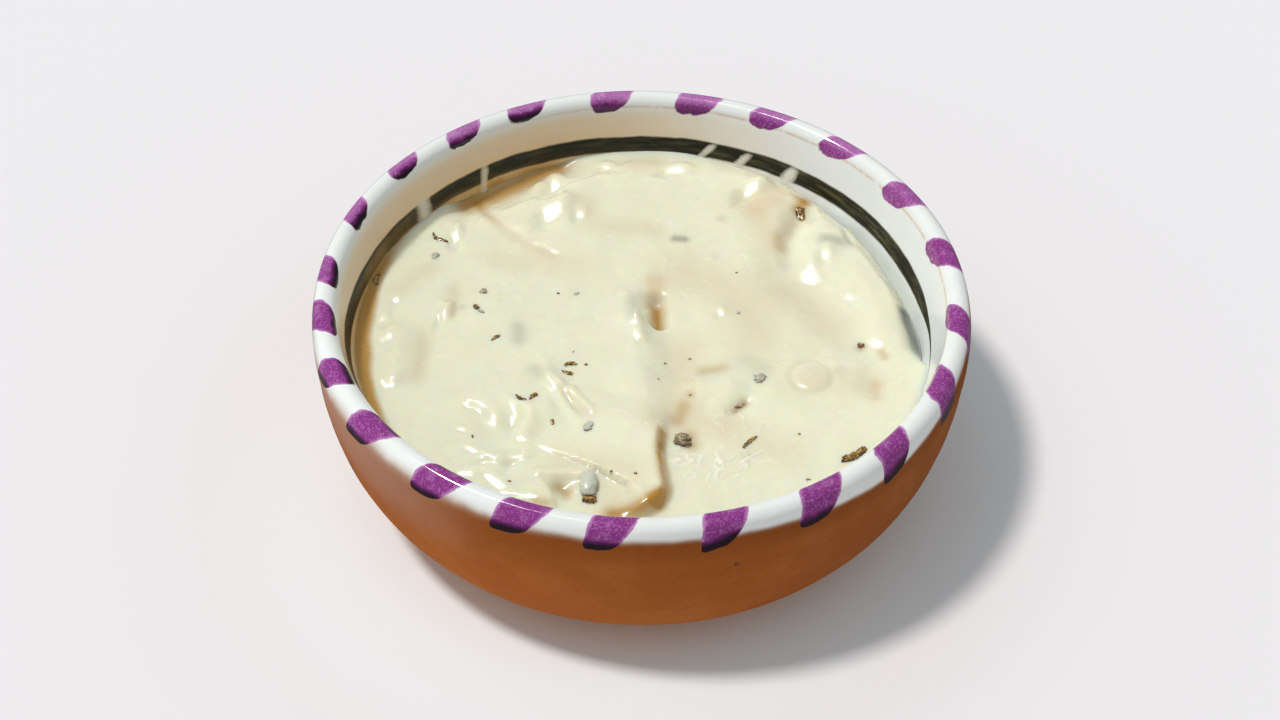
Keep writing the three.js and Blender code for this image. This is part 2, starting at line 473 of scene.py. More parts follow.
@dataclass(frozen=True)
class PaintedGlaze:
    """Red clay outside, white glaze inside and over the lip, with painted dabs and a ring."""

    clay: Colour = (0.280, 0.078, 0.011)
    clay_pale: Colour = (0.35, 0.115, 0.024)
    clay_dark: Colour = (0.17, 0.042, 0.007)
    # painted light: the pale glare laid on the lit left side of the clay
    bloom: Colour = (0.46, 0.31, 0.24)
    glaze: Colour = (0.82, 0.85, 0.83)
    glaze_cloud: Colour = (0.76, 0.80, 0.78)
    glaze_thin: Colour = (0.62, 0.42, 0.30)
    glaze_edge: Colour = (0.39, 0.255, 0.18)
    # painted shade: the warm tint of the shaded inner wall, as light reflected from the sauce
    stain: Colour = (0.81, 0.57, 0.30)
    seep: Colour = (0.46, 0.265, 0.058)
    film: Colour = (0.72, 0.72, 0.60)
    dab: Colour = (0.245, 0.036, 0.225)
    dab_thin: Colour = (0.58, 0.27, 0.56)
    dab_deep: Colour = (0.115, 0.012, 0.105)
    # the darkest dab colour: thick paint at the outer ends, painted shade at the inner ends
    dab_pool: Colour = (0.010, 0.003, 0.007)
    ring: Colour = (0.014, 0.013, 0.006)
    ring_thin: Colour = (0.10, 0.092, 0.045)
    clay_mottle: Blots = Blots(16.0, 0.40, 0.75, 0.6, detail=4.0, rough=0.6)
    clay_grain: Blots = Blots(1.1, 0.50, 0.75, 0.30, rough=0.65)
    clouds: Blots = Blots(7.0, 0.3, 0.8, 0.5)
    thin_breaks: Blots = Blots(3.0, 0.32, 0.52, detail=2.0)
    seep_blots: Blots = Blots(5.0, 0.25, 0.6, 0.5)
    brush_grain: Blots = Blots(0.5, 0.50, 0.68, 0.50, rough=0.7)
    brush_blots: Blots = Blots(2.6, 0.5, 0.8, 0.35, detail=2.0)
    ring_streaks: Blots = Blots(1.6, 0.40, 0.75, stretch=(0.25, 0.25, 1.8))
    specks_each_metre: float = 105.0
    speck_share: float = 0.2     # how many of the places for specks hold one
    thin_at: float = -3.4        # the run where the glaze is thin, at the lip's inner edge
    bloom_from: float = 203.0    # the side that the painted glare faces, in degrees
    bloom_strength: float = 0.60
    stain_from: float = 146.0    # the side where the inner wall lies in shade and gets its painted warm shade
    thin_from: float = 15.0      # the side where the thin line shows
    worn_from: float = 100.0     # the side where the dabs get a painted sheen
    # the lit side, towards which the ring's streaks get paler as painted light
    ring_pale_from: float = 20.0

    def material(self, ring_from: float, ring_to: float) -> bpy.types.Material:
        """Builds the material.

        Args:
            ring_from: The run at the painted ring's top.
            ring_to: The run at its foot.

        Returns:
            The material.
        """
        board = Board.of_material("painted_glaze")
        run = board.stored("run")
        past = board.stored("past_glaze") + (board.noise(6.0, 3.0) - 0.5) * 0.3
        glazed = past.ramp(0.5, -0.5)
        film = (board.stored("film") * 1.4 - board.noise(2.2, 3.0) * 0.8).held()
        # painted shade: the clay just below the glaze's edge is darkened, as where the lip shades it
        clay = board.mix(past.ramp(3.0, 0.6) * 0.35, self._clay(board, run), self.clay_dark)
        colour = board.mix(glazed.ramp(0.0, 0.60), clay, self.glaze_edge)
        colour = board.mix(glazed.ramp(0.30, 1.0), colour, self._white(board, run))
        ring, ring_colour = self._ring(board, ring_from, ring_to)
        colour = board.mix(ring * (1.0 - film * 0.9), colour, ring_colour)
        seep = board.stored("seep") * (self.seep_blots.mask(board) + 0.5) * (0.9 - ring * 0.45)
        colour = board.mix(seep, colour, self.seep)
        colour = board.mix(film * 0.75, colour, self.film)
        dab, dab_colour = self._dab(board)
        colour = board.mix(dab, colour, dab_colour)
        shiny = (glazed * (1.0 - ring * 0.55)).at_least(dab)
        normal = self._relief(board, shiny)
        matt = board.surface(Base_Color=colour, Roughness=0.85, Specular_IOR_Level=0.12, Normal=normal)
        gloss = board.surface(Base_Color=colour, Roughness=0.10 + film * 0.2, Normal=normal)
        return board.close(board.node("ShaderNodeMixShader", None, {0: shiny, 1: matt, 2: gloss}))

    def _facing(self, board: Board, degrees: float) -> Signal:
        """How far a place lies towards some side of the bowl, about -1 to 1 at the rim."""
        turn, rim = math.radians(degrees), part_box("bowl")[1].x
        return board.place_by("DOT_PRODUCT", (math.cos(turn) / rim, math.sin(turn) / rim, 0.0))

    def _clay(self, board: Board, run: Signal) -> Signal:
        """The bare clay's colour: mottled, with specks, and painted glare that makes its lit side paler.

        Args:
            board: The material's board.
            run: How far over the lip a place lies.

        Returns:
            The colour.
        """
        colour = board.mix(self.clay_mottle.mask(board), self.clay, self.clay_pale)
        colour = board.mix(self.clay_grain.mask(board), colour, self.clay_dark)
        # painted light: the upper clay on the lit left is painted paler, as glare
        bloom = run.ramp(24.0, 9.0) * self._facing(board, self.bloom_from).ramp(0.72, 1.0)
        colour = board.mix(bloom * self.bloom_strength, colour, self.bloom)
        sockets = {"Vector": board.place(), "Scale": self.specks_each_metre}
        cells = board.node("ShaderNodeTexVoronoi", {"feature": "F1"}, sockets)
        chance = board.node("ShaderNodeSeparateXYZ", None, {0: cells.output("Color")})
        kept = chance.ramp(1.0 - self.speck_share, 1.01 - self.speck_share)
        return board.mix(cells.ramp(0.08, 0.045) * kept, colour, self.clay_dark)

    def _white(self, board: Board, run: Signal) -> Signal:
        """The white glaze's colour, with painted warm shade on the shaded side of the inner wall, and thin
        along the lip's inner edge.

        Args:
            board: The material's board.
            run: How far over the lip a place lies.

        Returns:
            The colour.
        """
        colour = board.mix(self.clouds.mask(board), self.glaze, self.glaze_cloud)
        # painted shade: the low inner wall on the shaded back-left is tinted warm, as by light the sauce
        # reflects
        low = run.ramp(-2.6, -6.0) * (0.72 + run.ramp(-6.0, -13.0) * 0.28)
        stained = self._facing(board, self.stain_from).ramp(-0.15, 0.80) * low
        colour = board.mix(stained, colour, self.stain)
        broken = self.thin_breaks.mask(board) * self._facing(board, self.thin_from).ramp(-0.5, 0.3)
        edge = abs(run - self.thin_at).ramp(0.50, 0.1) * broken
        return board.mix(edge * 0.55, colour, self.glaze_thin)

    def _ring(self, board: Board, start: float, end: float) -> tuple[Signal, Signal]:
        """The painted ring inside, with soft uneven edges and brush streaks, which are more and paler on the
        lit right as painted light.

        Args:
            board: The material's board.
            start: The run at its top.
            end: The run at its foot.

        Returns:
            The ring's mask and its colour.
        """
        place, soft = board.stored("ring_run") + (board.noise(6.0) - 0.5) * 0.6, 0.3
        ring = place.ramp(end - soft, end + soft) * place.ramp(start + soft, start - soft)
        # painted light: more pale streaks on the lit right, on top of the thin paint's own streaks
        sparse = self._facing(board, self.ring_pale_from).ramp(-0.2, 1.0) * 0.5 + 0.35
        return ring, board.mix(self.ring_streaks.mask(board) * sparse, self.ring, self.ring_thin)

    def _dab(self, board: Board) -> tuple[Signal, Signal]:
        """The painted dabs: brushed thin in places, dark at the outer end where the paint lies thick, and
        with painted shade at the inner end on the shaded left and back.

        Args:
            board: The material's board.

        Returns:
            The dabs' mask and their colour.
        """
        across, along = board.stored("dab_across"), board.stored("dab_along")
        chance, inner = board.stored("dab_chance"), board.stored("dab_inner")
        ragged = board.noise(2.4, 3.0) - 0.5
        outside = along.ramp(0.0, 0.35)
        skewed = along + across * outside * (0.11 + chance * 0.12)
        outline = abs(across) ** (outside * 2.4 + 2.6) + abs(skewed) ** (outside * 1.0 + 3.4)
        dab = (outline + ragged * 0.8).ramp(1.12, 0.90)
        halo = abs(across).ramp(0.78, 1.0) * 0.6
        # painted sheen: the dabs at the back are painted paler over most of their length, as a mirrored sky
        worn = along.ramp(-0.72, -0.36) * self._facing(board, self.worn_from).ramp(0.0, 0.7) * 0.45
        thin = self.brush_grain.mask(board) + self.brush_blots.mask(board) + halo + worn
        colour = board.mix(thin.held(), self.dab, self.dab_thin)
        soft = ragged * 0.35 + chance * 0.06
        # the outer end is dark where the paint lies thick; the inner end gets painted shade on the shaded
        # side
        pool = (skewed + soft).ramp(0.30, 0.86).at_least((soft - along).ramp(0.50, 0.90) * inner)
        deep = board.mix(pool.ramp(0.0, 0.55), colour, self.dab_deep)
        return dab, board.mix(pool.ramp(0.35, 1.0) * 0.98, deep, self.dab_pool)

    def _relief(self, board: Board, shiny: Signal) -> Signal:
        """The normal of gritty clay and slightly uneven glaze."""
        grit, peel = board.noise(0.5, 4.0, 0.7) * (1.0 - shiny), board.noise(4.5) * shiny
        return board.bump(grit * 0.5 + peel * 0.6, 0.12, 0.6)


@dataclass(frozen=True)
class ThickSauce:
    """Cream sauce: glossy, slightly see-through, with painted shade in tan and amber in its hollows and
    creases, grey over herbs under thin sauce, a painted dark reflection along the right-hand wall and
    painted highlights on its wrinkled skin.
    """

    cream: Colour = (0.83, 0.835, 0.645)
    butter: Colour = (0.82, 0.795, 0.60)
    # painted shade: tan for the sauce's hollows and slopes that face away from the light
    tan: Colour = (0.74, 0.635, 0.435)
    # painted shade: amber for creases and the shaded sides of steps, as light shines through shaded sauce
    amber: Colour = (0.49, 0.268, 0.050)
    # grey of herbs seen through thin sauce, also used for a painted dark reflection
    sunk: Colour = (0.14, 0.165, 0.150)
    # painted highlight: the pale colour of the wrinkles' crests
    dried: Colour = (0.95, 0.94, 0.84)
    drift: Blots = Blots(16.0, 0.42, 0.70, 0.5)
    blush: Blots = Blots(7.0, 0.60, 0.85, 0.25)
    dull: Blots = Blots(5.0, 0.4, 0.8, 0.12, detail=2.0)
    wet: Blots = Blots(9.0, 0.30, 0.60, 0.5, detail=2.0)
    light_reach: Colour = (1.0, 0.62, 0.22)
    light_depth: float = 2.0

    def material(self) -> bpy.types.Material:
        """Builds the material.

        Returns:
            The material.
        """
        board = Board.of_material("thick_sauce")
        colour = board.mix(self.drift.mask(board), self.cream, self.butter)
        # painted shade in tan where the surface lies in shade, with random blush blots
        blushing = board.stored("tan") + self.blush.mask(board)
        tints = (
            (blushing.held(), self.tan), (board.stored("sunk").held(), self.sunk),
            (board.stored("amber").held(), self.amber), (board.stored("dried"), self.dried),
        )
        for share, tint in tints:
            colour = board.mix(share, colour, tint)
        return board.close(board.surface(
            Base_Color=colour, Roughness=0.20 + self.dull.mask(board), IOR=1.42,
            Coat_Weight=0.25 + self.wet.mask(board), Coat_Roughness=0.06,
            Subsurface_Weight=0.8, Subsurface_Radius=self.light_reach,
            Subsurface_Scale=self.light_depth * MM, Normal=board.bump(board.noise(3.0, 3.0), 0.06, 0.5),
        ))


@dataclass(frozen=True)
class WetHerb:
    """Dark wet scraps of herb and pickle, grey where the sauce coats them, with painted light: paler and
    more golden towards the top, and painted shade underneath.
    """

    dark: Colour = (0.012, 0.009, 0.003)
    brown: Colour = (0.19, 0.085, 0.018)
    green: Colour = (0.125, 0.115, 0.045)
    gold: Colour = (0.56, 0.36, 0.11)
    grey: Colour = (0.64, 0.66, 0.55)

    def material(self, name: str) -> bpy.types.Material:
        """Builds the material.

        Args:
            name: Its name.

        Returns:
            The material.
        """
        board = Board.of_material(name)
        tone, veil, top = board.stored("tone"), board.stored("veil"), board.stored("top")
        mottle, glow = board.noise(0.8, 3.0, 0.65), board.noise(0.6)
        colour = board.mix(tone.held(), self.brown, self.green)
        # painted light and shade: the gold glints and the grey veil lean to the top, and the underside is
        # painted dark
        colour = board.mix((glow + top * 0.1).ramp(0.54, 0.68) * 0.8, colour, self.gold)
        colour = board.mix((mottle + top * 0.2).ramp(0.36, 0.64), self.dark, colour)
        colour = board.mix((veil * (top * 1.6 + 0.65)).held(), colour, self.grey)
        return board.close(board.surface(
            Base_Color=colour, Roughness=0.14, Coat_Weight=0.6, Coat_Roughness=0.06,
            Normal=board.bump(mottle, 0.15, 0.8),
        ))


@dataclass(frozen=True)
class PaleFloor:
    """A plain pale floor, cooler round the bowl, which hides the clay's red reflection."""

    colour: Colour = (0.777, 0.832, 0.864)
    near_bowl: Colour = (0.815, 0.955, 1.0)
    middle: Colour = (-0.011, -0.011, 0.0)       # metres, as is the reach
    reach: float = 0.083

    def material(self) -> bpy.types.Material:
        """Builds the material.

        Returns:
            The material.
        """
        board = Board.of_material("pale_floor")
        near = board.place_by("DISTANCE", self.middle).ramp(self.reach, self.reach * 0.6)
        colour = board.mix(near, self.colour, self.near_bowl)
        return board.close(board.surface(Base_Color=colour, Roughness=0.9, Specular_IOR_Level=0.1))


# -------------------------------------------------------------------------------- The bowl


@dataclass
class DabRow:
    """The row of dabs painted across the lip."""

    # the middle of each dab on the crest, in degrees; the painter's spacing wanders
    middles: tuple[float, ...] = (
        11.0, 29.0, 47.0, 63.5, 79.0, 96.5, 114.0, 128.0, 143.5, 159.5, 176.5,
        189.0, 203.5, 218.5, 235.5, 251.0, 266.0, 284.5, 302.0, 318.0, 335.5, 352.5,
    )
    width: float = 9.0
    uneven: float = 0.07         # how much the widths vary
    narrowing: float = 0.048     # how fast the strokes narrow outside, for each millimetre
    inner_end: float = -3.9      # the run of the inner end
    inner_drift: float = 1.0     # how much further in the dabs on the right reach
    inner_uneven: float = 0.35
    outer_end: float = 7.3       # the run of the outer end
    outer_uneven: float = 0.18
    # where the outer ends reach further or less far: degrees, spread and how much
    outer_drifts: tuple[tuple[float, float, float], ...] = (
        (209.0, 11.0, 0.9), (256.0, 27.0, -0.7),
    )
    slant: float = -0.38         # sideways shift for each millimetre of run
    side_slant: float = -0.38    # how much more the strokes slant on the left and the right
    upright_at: float = 326.0    # where they stand straighter outside, in degrees
    upright_spread: float = 22.0
    upright_share: float = 0.8
    seed: int = 6

    def describe(self, angle: Points, run: Points, radius: float) -> dict[str, Numbers]:
        """How each corner of the bowl's faces lies in its nearest dab.

        Args:
            angle: Degrees round the bowl of each face's corners, one face a row.
            run: How far over the lip the same corners lie.
            radius: The lip's radius.

        Returns:
            For each corner, its share of the dab's half width and half length, with the dab's own chance
            number and how much painted shade darkens its inner end.
        """
        random = np.random.default_rng(self.seed)
        middles = np.array(self.middles)
        count, side = len(middles), np.cos(np.radians(middles))
        widths = self.width * random.uniform(1.0 - self.uneven, 1.0 + self.uneven, count)
        lows = self.inner_end - self.inner_drift * side + random.normal(0.0, self.inner_uneven, count)
        drifts = (amount * bell(middles - at, spread) for at, spread, amount in self.outer_drifts)
        highs = self.outer_end + sum(drifts) + random.normal(0.0, self.outer_uneven, count)
        slants = (self.slant + self.side_slant * side**2) * random.uniform(0.8, 1.2, count)
        chances = random.uniform(-1.0, 1.0, count)
        # painted shade: the inner ends of the dabs on the shaded left and back are darkened
        pools = np.clip(0.55 - 0.8 * side, 0.0, 1.0)

        dab = np.abs(aside(angle.mean(1)[:, None], middles)).argmin(1)
        middle, width, low, high, slant, chance, pool = (
            fact[dab, None] for fact in (middles, widths, lows, highs, slants, chances, pools)
        )
        upright = self.upright_share * bell(middle - self.upright_at, self.upright_spread) * (run > 0)
        sideways = np.radians(aside(angle, middle)) * radius - slant * run * (1.0 - upright)
        taper = 1.0 - self.narrowing * np.maximum(run, 0.0)
        return {
            "dab_across": sideways / (width / 2) / taper,
            "dab_along": (run - (low + high) / 2) / ((high - low) / 2),
            "dab_chance": np.broadcast_to(chance, angle.shape),
            "dab_inner": np.broadcast_to(pool, angle.shape),
        }


@dataclass
class Bowl:
    """The earthenware bowl, turned from one section."""

    around: int = 540
    lip_round: float = 2.25
    lip_start: float = 18.0      # where the lip's arc starts and ends, in degrees from outwards
    lip_end: float = 162.0
    rim_inset: float = 0.5       # how much narrower the lip is than the shoulder
    shoulder_drop: float = 5.8
    base_radius: float = 40.0
    base_round: float = 1.2
    belly_handle: float = 22.0
    base_handle: float = 17.0
    base_lift: float = 1.4
    inner_handle: float = 19.5
    well_handle: float = 28.0
    well_radius: float = 26.0
    well_height: float = 7.0
    well_dish: float = 0.4
    ring_depth: float = 8.9      # top of the painted ring, below the lip's crest
    ring_width: float = 3.5
    ring_lift: float = 0.35
    # where the ring runs nearer the crest or further from it: degrees, spread and how much
    ring_drifts: tuple[tuple[float, float, float], ...] = ((204.0, 26.0, 4.1), (8.0, 26.0, -0.8))
    # where the ring narrows to nothing: degrees, spread and how many times
    ring_gap: tuple[float, float, float] = (-14.0, 12.0, 9.0)
    glaze_end: float = 5.6       # the run of the glaze's edge, outside
    glaze_tilt: float = 2.8      # how much further it reaches on the left
    # where the glaze reaches further or less far: degrees, spread and how much
    glaze_drifts: tuple[tuple[float, float, float], ...] = (
        (316.0, 18.0, 2.4), (258.0, 30.0, -1.5), (220.0, 26.0, -3.0),
    )
    glaze_fade: float = 2.3      # how wide the glaze's edge fades
    # where it fades wider: degrees, spread and by how much
    glaze_wash: tuple[float, float, float] = (207.0, 38.0, 7.0)
    # smears of sauce across the ring: degrees, width, lean and how far below the crest they start
    smears: tuple[tuple[float, float, float, float], ...] = (
        (143.0, 5.0, 0.1, 6.4), (126.3, 2.2, 0.25, 7.2), (76.3, 2.2, 0.9, 7.6),
        (68.0, 2.6, 0.8, 8.0), (57.0, 3.8, 0.5, 7.8),
    )
    smear_middle: float = 10.5   # the depth at which a leaning smear stands at its own angle
    smear_end: float = 2.2       # how far a smear takes to start
    smear_thickness: float = 0.25
    # amber painted on the inner wall just above the sauce: degrees, spread and how far below the crest it
    # starts
    seeps: tuple[tuple[float, float, float], ...] = (
        (163.0, 44.0, 10.8), (122.0, 17.0, 11.6), (160.0, 13.0, 8.4),
    )
    seep_end: float = 1.1
    wobble: float = 0.12         # how far the wall swings in and out
    swings: Grain = Grain(3, 34.0)
    throwing: float = 0.06       # how deep the rings are that throwing left on the clay
    thrown: Grain = Grain(11, 3.2)
    bare: float = 0.15           # how far the clay lies behind the glaze
    bulge: float = 0.1           # the furthest that the wall swings out
    dabs: DabRow = field(default_factory=DabRow)

    def __post_init__(self) -> None:
        """Takes the overall size from the frame."""
        low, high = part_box("bowl")
        self.height = high.z / MM
        self.shoulder_radius = (high.x - low.x) / 2 / MM
        self.lip_radius = self.shoulder_radius - self.rim_inset - self.lip_round
        self.crest = self.height - self.lip_round

    def on_lip(self, degrees: float) -> tuple[Points, Points]:
        """A point of the rounded lip and the direction of the section there.

        Args:
            degrees: How far round the lip it is, from outwards.

        Returns:
            The point and the direction.
        """
        outward = np.array([math.cos(math.radians(degrees)), math.sin(math.radians(degrees))])
        centre = np.array([self.lip_radius, self.crest])
        return centre + self.lip_round * outward, np.array([-outward[1], outward[0]])

    def inner_wall(self, count: int) -> Points:
        """Points down the inner wall, from the lip to the level well.

        Args:
            count: How many points.

        Returns:
            The points.
        """
        start, tangent = self.on_lip(self.lip_end)
        end = np.array([self.well_radius, self.well_height])
        return bezier(start, start + self.inner_handle * tangent, end + [self.well_handle, 0.0], end, count)

    def section(self) -> Points:
        """The whole section.

        Returns:
            Points from the middle of the base round to the middle of the well.
        """
        corner = np.array([self.base_radius, self.base_round * 0.5])
        shoulder = np.array([self.shoulder_radius, self.height - self.shoulder_drop])
        sweep = corner + [self.base_handle, self.base_lift]
        belly = bezier(corner, sweep, shoulder - [0.0, self.belly_handle], shoulder, 64)
        lip, tangent = self.on_lip(self.lip_start)
        handle = np.linalg.norm(lip - shoulder) / 3
        neck = bezier(shoulder, shoulder + [0.0, handle], lip - handle * tangent, lip, 10)
        over = np.array([self.on_lip(turn)[0] for turn in np.linspace(self.lip_start, self.lip_end, 30)])
        flat = self.base_radius - self.base_round
        base = [[radius, 0.0] for radius in np.linspace(0.0, flat, 8)]
        edge = [[flat + self.base_round * 0.7, self.base_round * 0.15]]
        well = [[self.well_radius * share, self.well_height - self.well_dish * (1 - share**2)]
                for share in np.linspace(0.85, 0.0, 8)]
        return np.vstack([base, edge, belly, neck[1:], over[1:], self.inner_wall(64)[1:], well])

    def runs(self, section: Points) -> Numbers:
        """How far over the lip each point of the section lies."""
        along = np.append(0.0, np.cumsum(np.linalg.norm(np.diff(section, axis=0), axis=1)))
        return along[section[:, 1].argmax()] - along

    def run_at_depth(self, depth: float) -> float:
        """The run of a place on the inner wall.

        Args:
            depth: How far below the crest it lies.

        Returns:
            The run.
        """
        wall, whole = self.inner_wall(200), self.section()
        start = self.runs(whole)[np.linalg.norm(whole - wall[0], axis=1).argmin()]
        down = np.append(0.0, np.cumsum(np.linalg.norm(np.diff(wall, axis=0), axis=1)))
        return start - float(np.interp(depth, self.height - wall[:, 1], down))

    def past_glaze(self, degrees: Numbers, run: Numbers) -> Numbers:
        """How far beyond the glaze's outer edge each place lies.

        Args:
            degrees: Angles round the bowl, from 0 to 360.
            run: How far over the lip the places lie.

        Returns:
            The distance, in widths of that edge's fade.
        """
        drift = sum(amount * bell(degrees - at, spread) for at, spread, amount in self.glaze_drifts)
        edge = self.glaze_end - self.glaze_tilt * np.cos(np.radians(degrees)) + drift
        middle, spread, more = self.glaze_wash
        return (run - edge) / (self.glaze_fade + more * bell(degrees - middle, spread))

    def ring_run(self, degrees: Numbers, run: Numbers) -> Numbers:
        """The place of the wall's points in the painted ring, as if it ran level and even.

        Args:
            degrees: Angles round the bowl.
            run: How far over the lip the points lie.

        Returns:
            The run, shifted where the ring wanders and spread where it is narrow.
        """
        rise = self.ring_lift + sum(amount * hump(degrees, *place) for *place, amount in self.ring_drifts)
        *place, times = self.ring_gap
        narrow = 1.0 + times * hump(degrees, *place)
        middle = self.run_at_depth(self.ring_depth + self.ring_width * 0.3)
        return middle + (run - rise - middle) * narrow

    def film(self, degrees: Numbers, depth: Numbers) -> Numbers:
        """How much sauce is smeared on the inner wall.

        Args:
            degrees: Angles round the bowl.
            depth: Depths below the crest.

        Returns:
            The smear, from 0 to 1.
        """
        total = np.zeros(np.broadcast(degrees, depth).shape)
        for middle, width, lean, start in self.smears:
            shift = lean * (depth - self.smear_middle)
            across = (np.radians(aside(degrees, middle)) * self.lip_radius - shift) / (width * 0.5)
            total += bell(across, 1.0) * smooth(depth, start, start + self.smear_end)
        return np.clip(total, 0.0, 1.0)

    def seep(self, degrees: Numbers, depth: Numbers) -> Numbers:
        """How strongly the inner wall is painted amber just above the sauce.

        Args:
            degrees: Angles round the bowl.
            depth: Depths below the crest.

        Returns:
            The amber, from 0 to 1.
        """
        stains = (hump(degrees, middle, spread) * smooth(depth, start, start + self.seep_end)
                  for middle, spread, start in self.seeps)
        return np.maximum.reduce(list(stains))

    def mesh(self) -> bpy.types.Object:
        """Builds the bowl's mesh, slightly uneven as a thrown bowl is.

        Returns:
            The bowl.
        """
        section = self.section()
        run = self.runs(section)[:, None]
        radius, height = section[:, :1], section[:, 1:]
        turn = np.arange(self.around) * 2 * np.pi / self.around
        degrees, depth, inside = np.degrees(turn), self.height - height, run < 0
        x, y = np.cos(turn) * radius, np.sin(turn) * radius
        slow = self.swings(x + 0.9 * height, y - 0.7 * height)
        rings = self.thrown(height + 0.0 * x, 0.5 + x / 160.0)
        clay = smooth(run, 8.0, 13.0) * smooth(height, 0.2, 3.0)
        upright = smooth(height, 0.5, 6.0)
        push = self.wobble * slow * upright + self.throwing * rings * clay - self.bare * clay
        film = self.film(degrees, depth) * inside
        radius = radius + np.minimum(push, self.bulge * upright) * smooth(radius, 10.0, 40.0)
        radius = radius - self.smear_thickness * film
        points = np.stack([np.cos(turn) * radius, np.sin(turn) * radius, height + 0.0 * x], -1)
        facts = {
            "run": run + 0.0 * x, "ring_run": self.ring_run(degrees, run),
            "past_glaze": self.past_glaze(degrees, run), "film": film,
            "seep": self.seep(degrees, depth) * inside,
        }
        form = Form()
        ends = [[0.0, 0.0, section[0, 1]], [0.0, 0.0, section[-1, 1]]]
        form.tube(points[1:-1], ends, **{name: fact[1:-1] for name, fact in facts.items()})
        bowl = form.build("painted_bowl")
        self._store_dabs(bowl.data)
        return bowl

    def _store_dabs(self, mesh: bpy.types.Mesh) -> None:
        """Stores on each corner of the mesh how it lies in its dab.

        Args:
            mesh: The bowl's mesh, with the run stored at its points.
        """
        corners, sides = np.empty(len(mesh.loops), int), np.empty(len(mesh.polygons), int)
        places, run = np.empty(len(mesh.vertices) * 3), np.empty(len(mesh.vertices))
        mesh.loops.foreach_get("vertex_index", corners)
        mesh.polygons.foreach_get("loop_total", sides)
        mesh.vertices.foreach_get("co", places)
        mesh.attributes["run"].data.foreach_get("value", run)
        places = places.reshape(-1, 3)[corners]
        face = np.repeat(np.arange(len(sides)), sides)
        starts = np.append(0, np.cumsum(sides)[:-1])
        angle = np.degrees(np.arctan2(places[:, 1], places[:, 0]))
        lead = angle[starts][face]
        angle = lead + aside(angle, lead)
        middle = (np.bincount(face, angle) / sides)[face]
        # the second column mirrors each corner, so that the mean of a row is its face's middle
        both = np.stack([angle, 2 * middle - angle], -1)
        facts = self.dabs.describe(both, np.stack([run[corners]] * 2, -1), self.lip_radius)
        for name, value in facts.items():
            stored = mesh.attributes.new(name, "FLOAT", "CORNER")
            stored.data.foreach_set("value", value[:, 0].astype(np.float32))

    def dress(self, bowl: bpy.types.Object) -> None:
        """Gives the bowl its glaze and ties it to the frame."""
        top, foot = (self.run_at_depth(self.ring_depth + width) for width in (0.0, self.ring_width))
        present(bowl, PaintedGlaze().material(top, foot), "earthenware", "bowl")


# ------------------------------------------------------------------------------- The sauce


Path = tuple[tuple[float, float], ...]


def path_distance(path: Path, x: Numbers, y: Numbers) -> tuple[Numbers, Numbers]:
    """The nearest place on a smooth curve through a path's points.

    Args:
        path: The points of the curve, or one point.
        x: First coordinate of each place.
        y: Second coordinate of each place.

    Returns:
        The distance, positive on the left of the way it runs, and the share of the way along.
    """
    points = np.array(path, float)
    if len(path) == 1:
        return np.hypot(x - points[0, 0], y - points[0, 1]), np.full(x.shape, 0.5)
    line = flowing(points, 6 * len(path)) if len(path) > 2 else points
    best = np.full(x.shape, np.inf)
    side, along = np.ones(x.shape), np.zeros(x.shape)
    for i, (start, end) in enumerate(zip(line[:-1], line[1:])):
        dx, dy = end - start
        px, py = x - start[0], y - start[1]
        share = np.clip((px * dx + py * dy) / (dx * dx + dy * dy), 0.0, 1.0)
        distance = np.hypot(px - share * dx, py - share * dy)
        closer = distance < best
        best[closer] = distance[closer]
        side[closer] = np.where(dx * py - dy * px >= 0, 1.0, -1.0)[closer]
        along[closer] = (i + share[closer]) / (len(line) - 1)
    return best * side, along


def near_path(path: Path, reach: float, x: Numbers, y: Numbers) -> Numbers:
    """Which places lie near a path's points.

    Args:
        path: The points.
        reach: How far outside the box round them a place may lie.
        x: First coordinate of each place.
        y: Second coordinate of each place.

    Returns:
        True for each place that lies near.
    """
    across, up = zip(*path)
    beside = (x > min(across) - reach) & (x < max(across) + reach)
    return beside & (y > min(up) - reach) & (y < max(up) + reach)


def faded(along: Numbers, taper: float) -> Numbers:
    """A share that fades out over the first and last part of a path."""
    return smooth(along, 0.0, taper) * smooth(1.0 - along, 0.0, taper)


@dataclass(frozen=True)
class Band:
    """A soft band along a path, or a soft spot where the path is one point."""

    amount: float
    width: float
    path: Path
    taper: float = 0.0           # the share of the path over which each end fades out
    cutoff: ClassVar[float] = 2.6      # how many widths away it has no effect

    def share(self, x: Numbers, y: Numbers) -> Numbers:
        """How far places are in the band.

        Args:
            x: First coordinate of each place.
            y: Second coordinate of each place.

        Returns:
            The amount in the band's middle, dying away beside it.
        """
        found = np.zeros(x.shape)
        near = near_path(self.path, self.cutoff * self.width, x, y)
        distance, along = path_distance(self.path, x[near], y[near])
        ends = faded(along, self.taper) if self.taper else 1.0
        found[near] = self.amount * (bell(distance, self.width) * ends)
        return found


@dataclass(frozen=True)
class Step:
    """A step in the sauce along a path, up on the left of the way it runs."""

    lift: float
    width: float
    path: Path
    reach: float = 20.0          # how far behind the step the lift dies away
    right: bool = False          # whether it lifts the right side instead
    taper: float = 0.25
    cutoff: ClassVar[float] = 2.4      # how many reaches away it has no effect

    def share(self, x: Numbers, y: Numbers) -> Numbers:
        """The lift at some places.

        Args:
            x: First coordinate of each place.
            y: Second coordinate of each place.

        Returns:
            The lift at each place.
        """
        found = np.zeros(x.shape)
        near = near_path(self.path, self.cutoff * self.reach, x, y)
        distance, along = path_distance(self.path, x[near], y[near])
        inside = -distance if self.right else distance
        rise = smooth(inside, -self.width / 2, self.width / 2)
        away = bell(np.maximum(inside, 0.0), self.reach)
        found[near] = self.lift * rise * away * faded(along, self.taper)
        return found


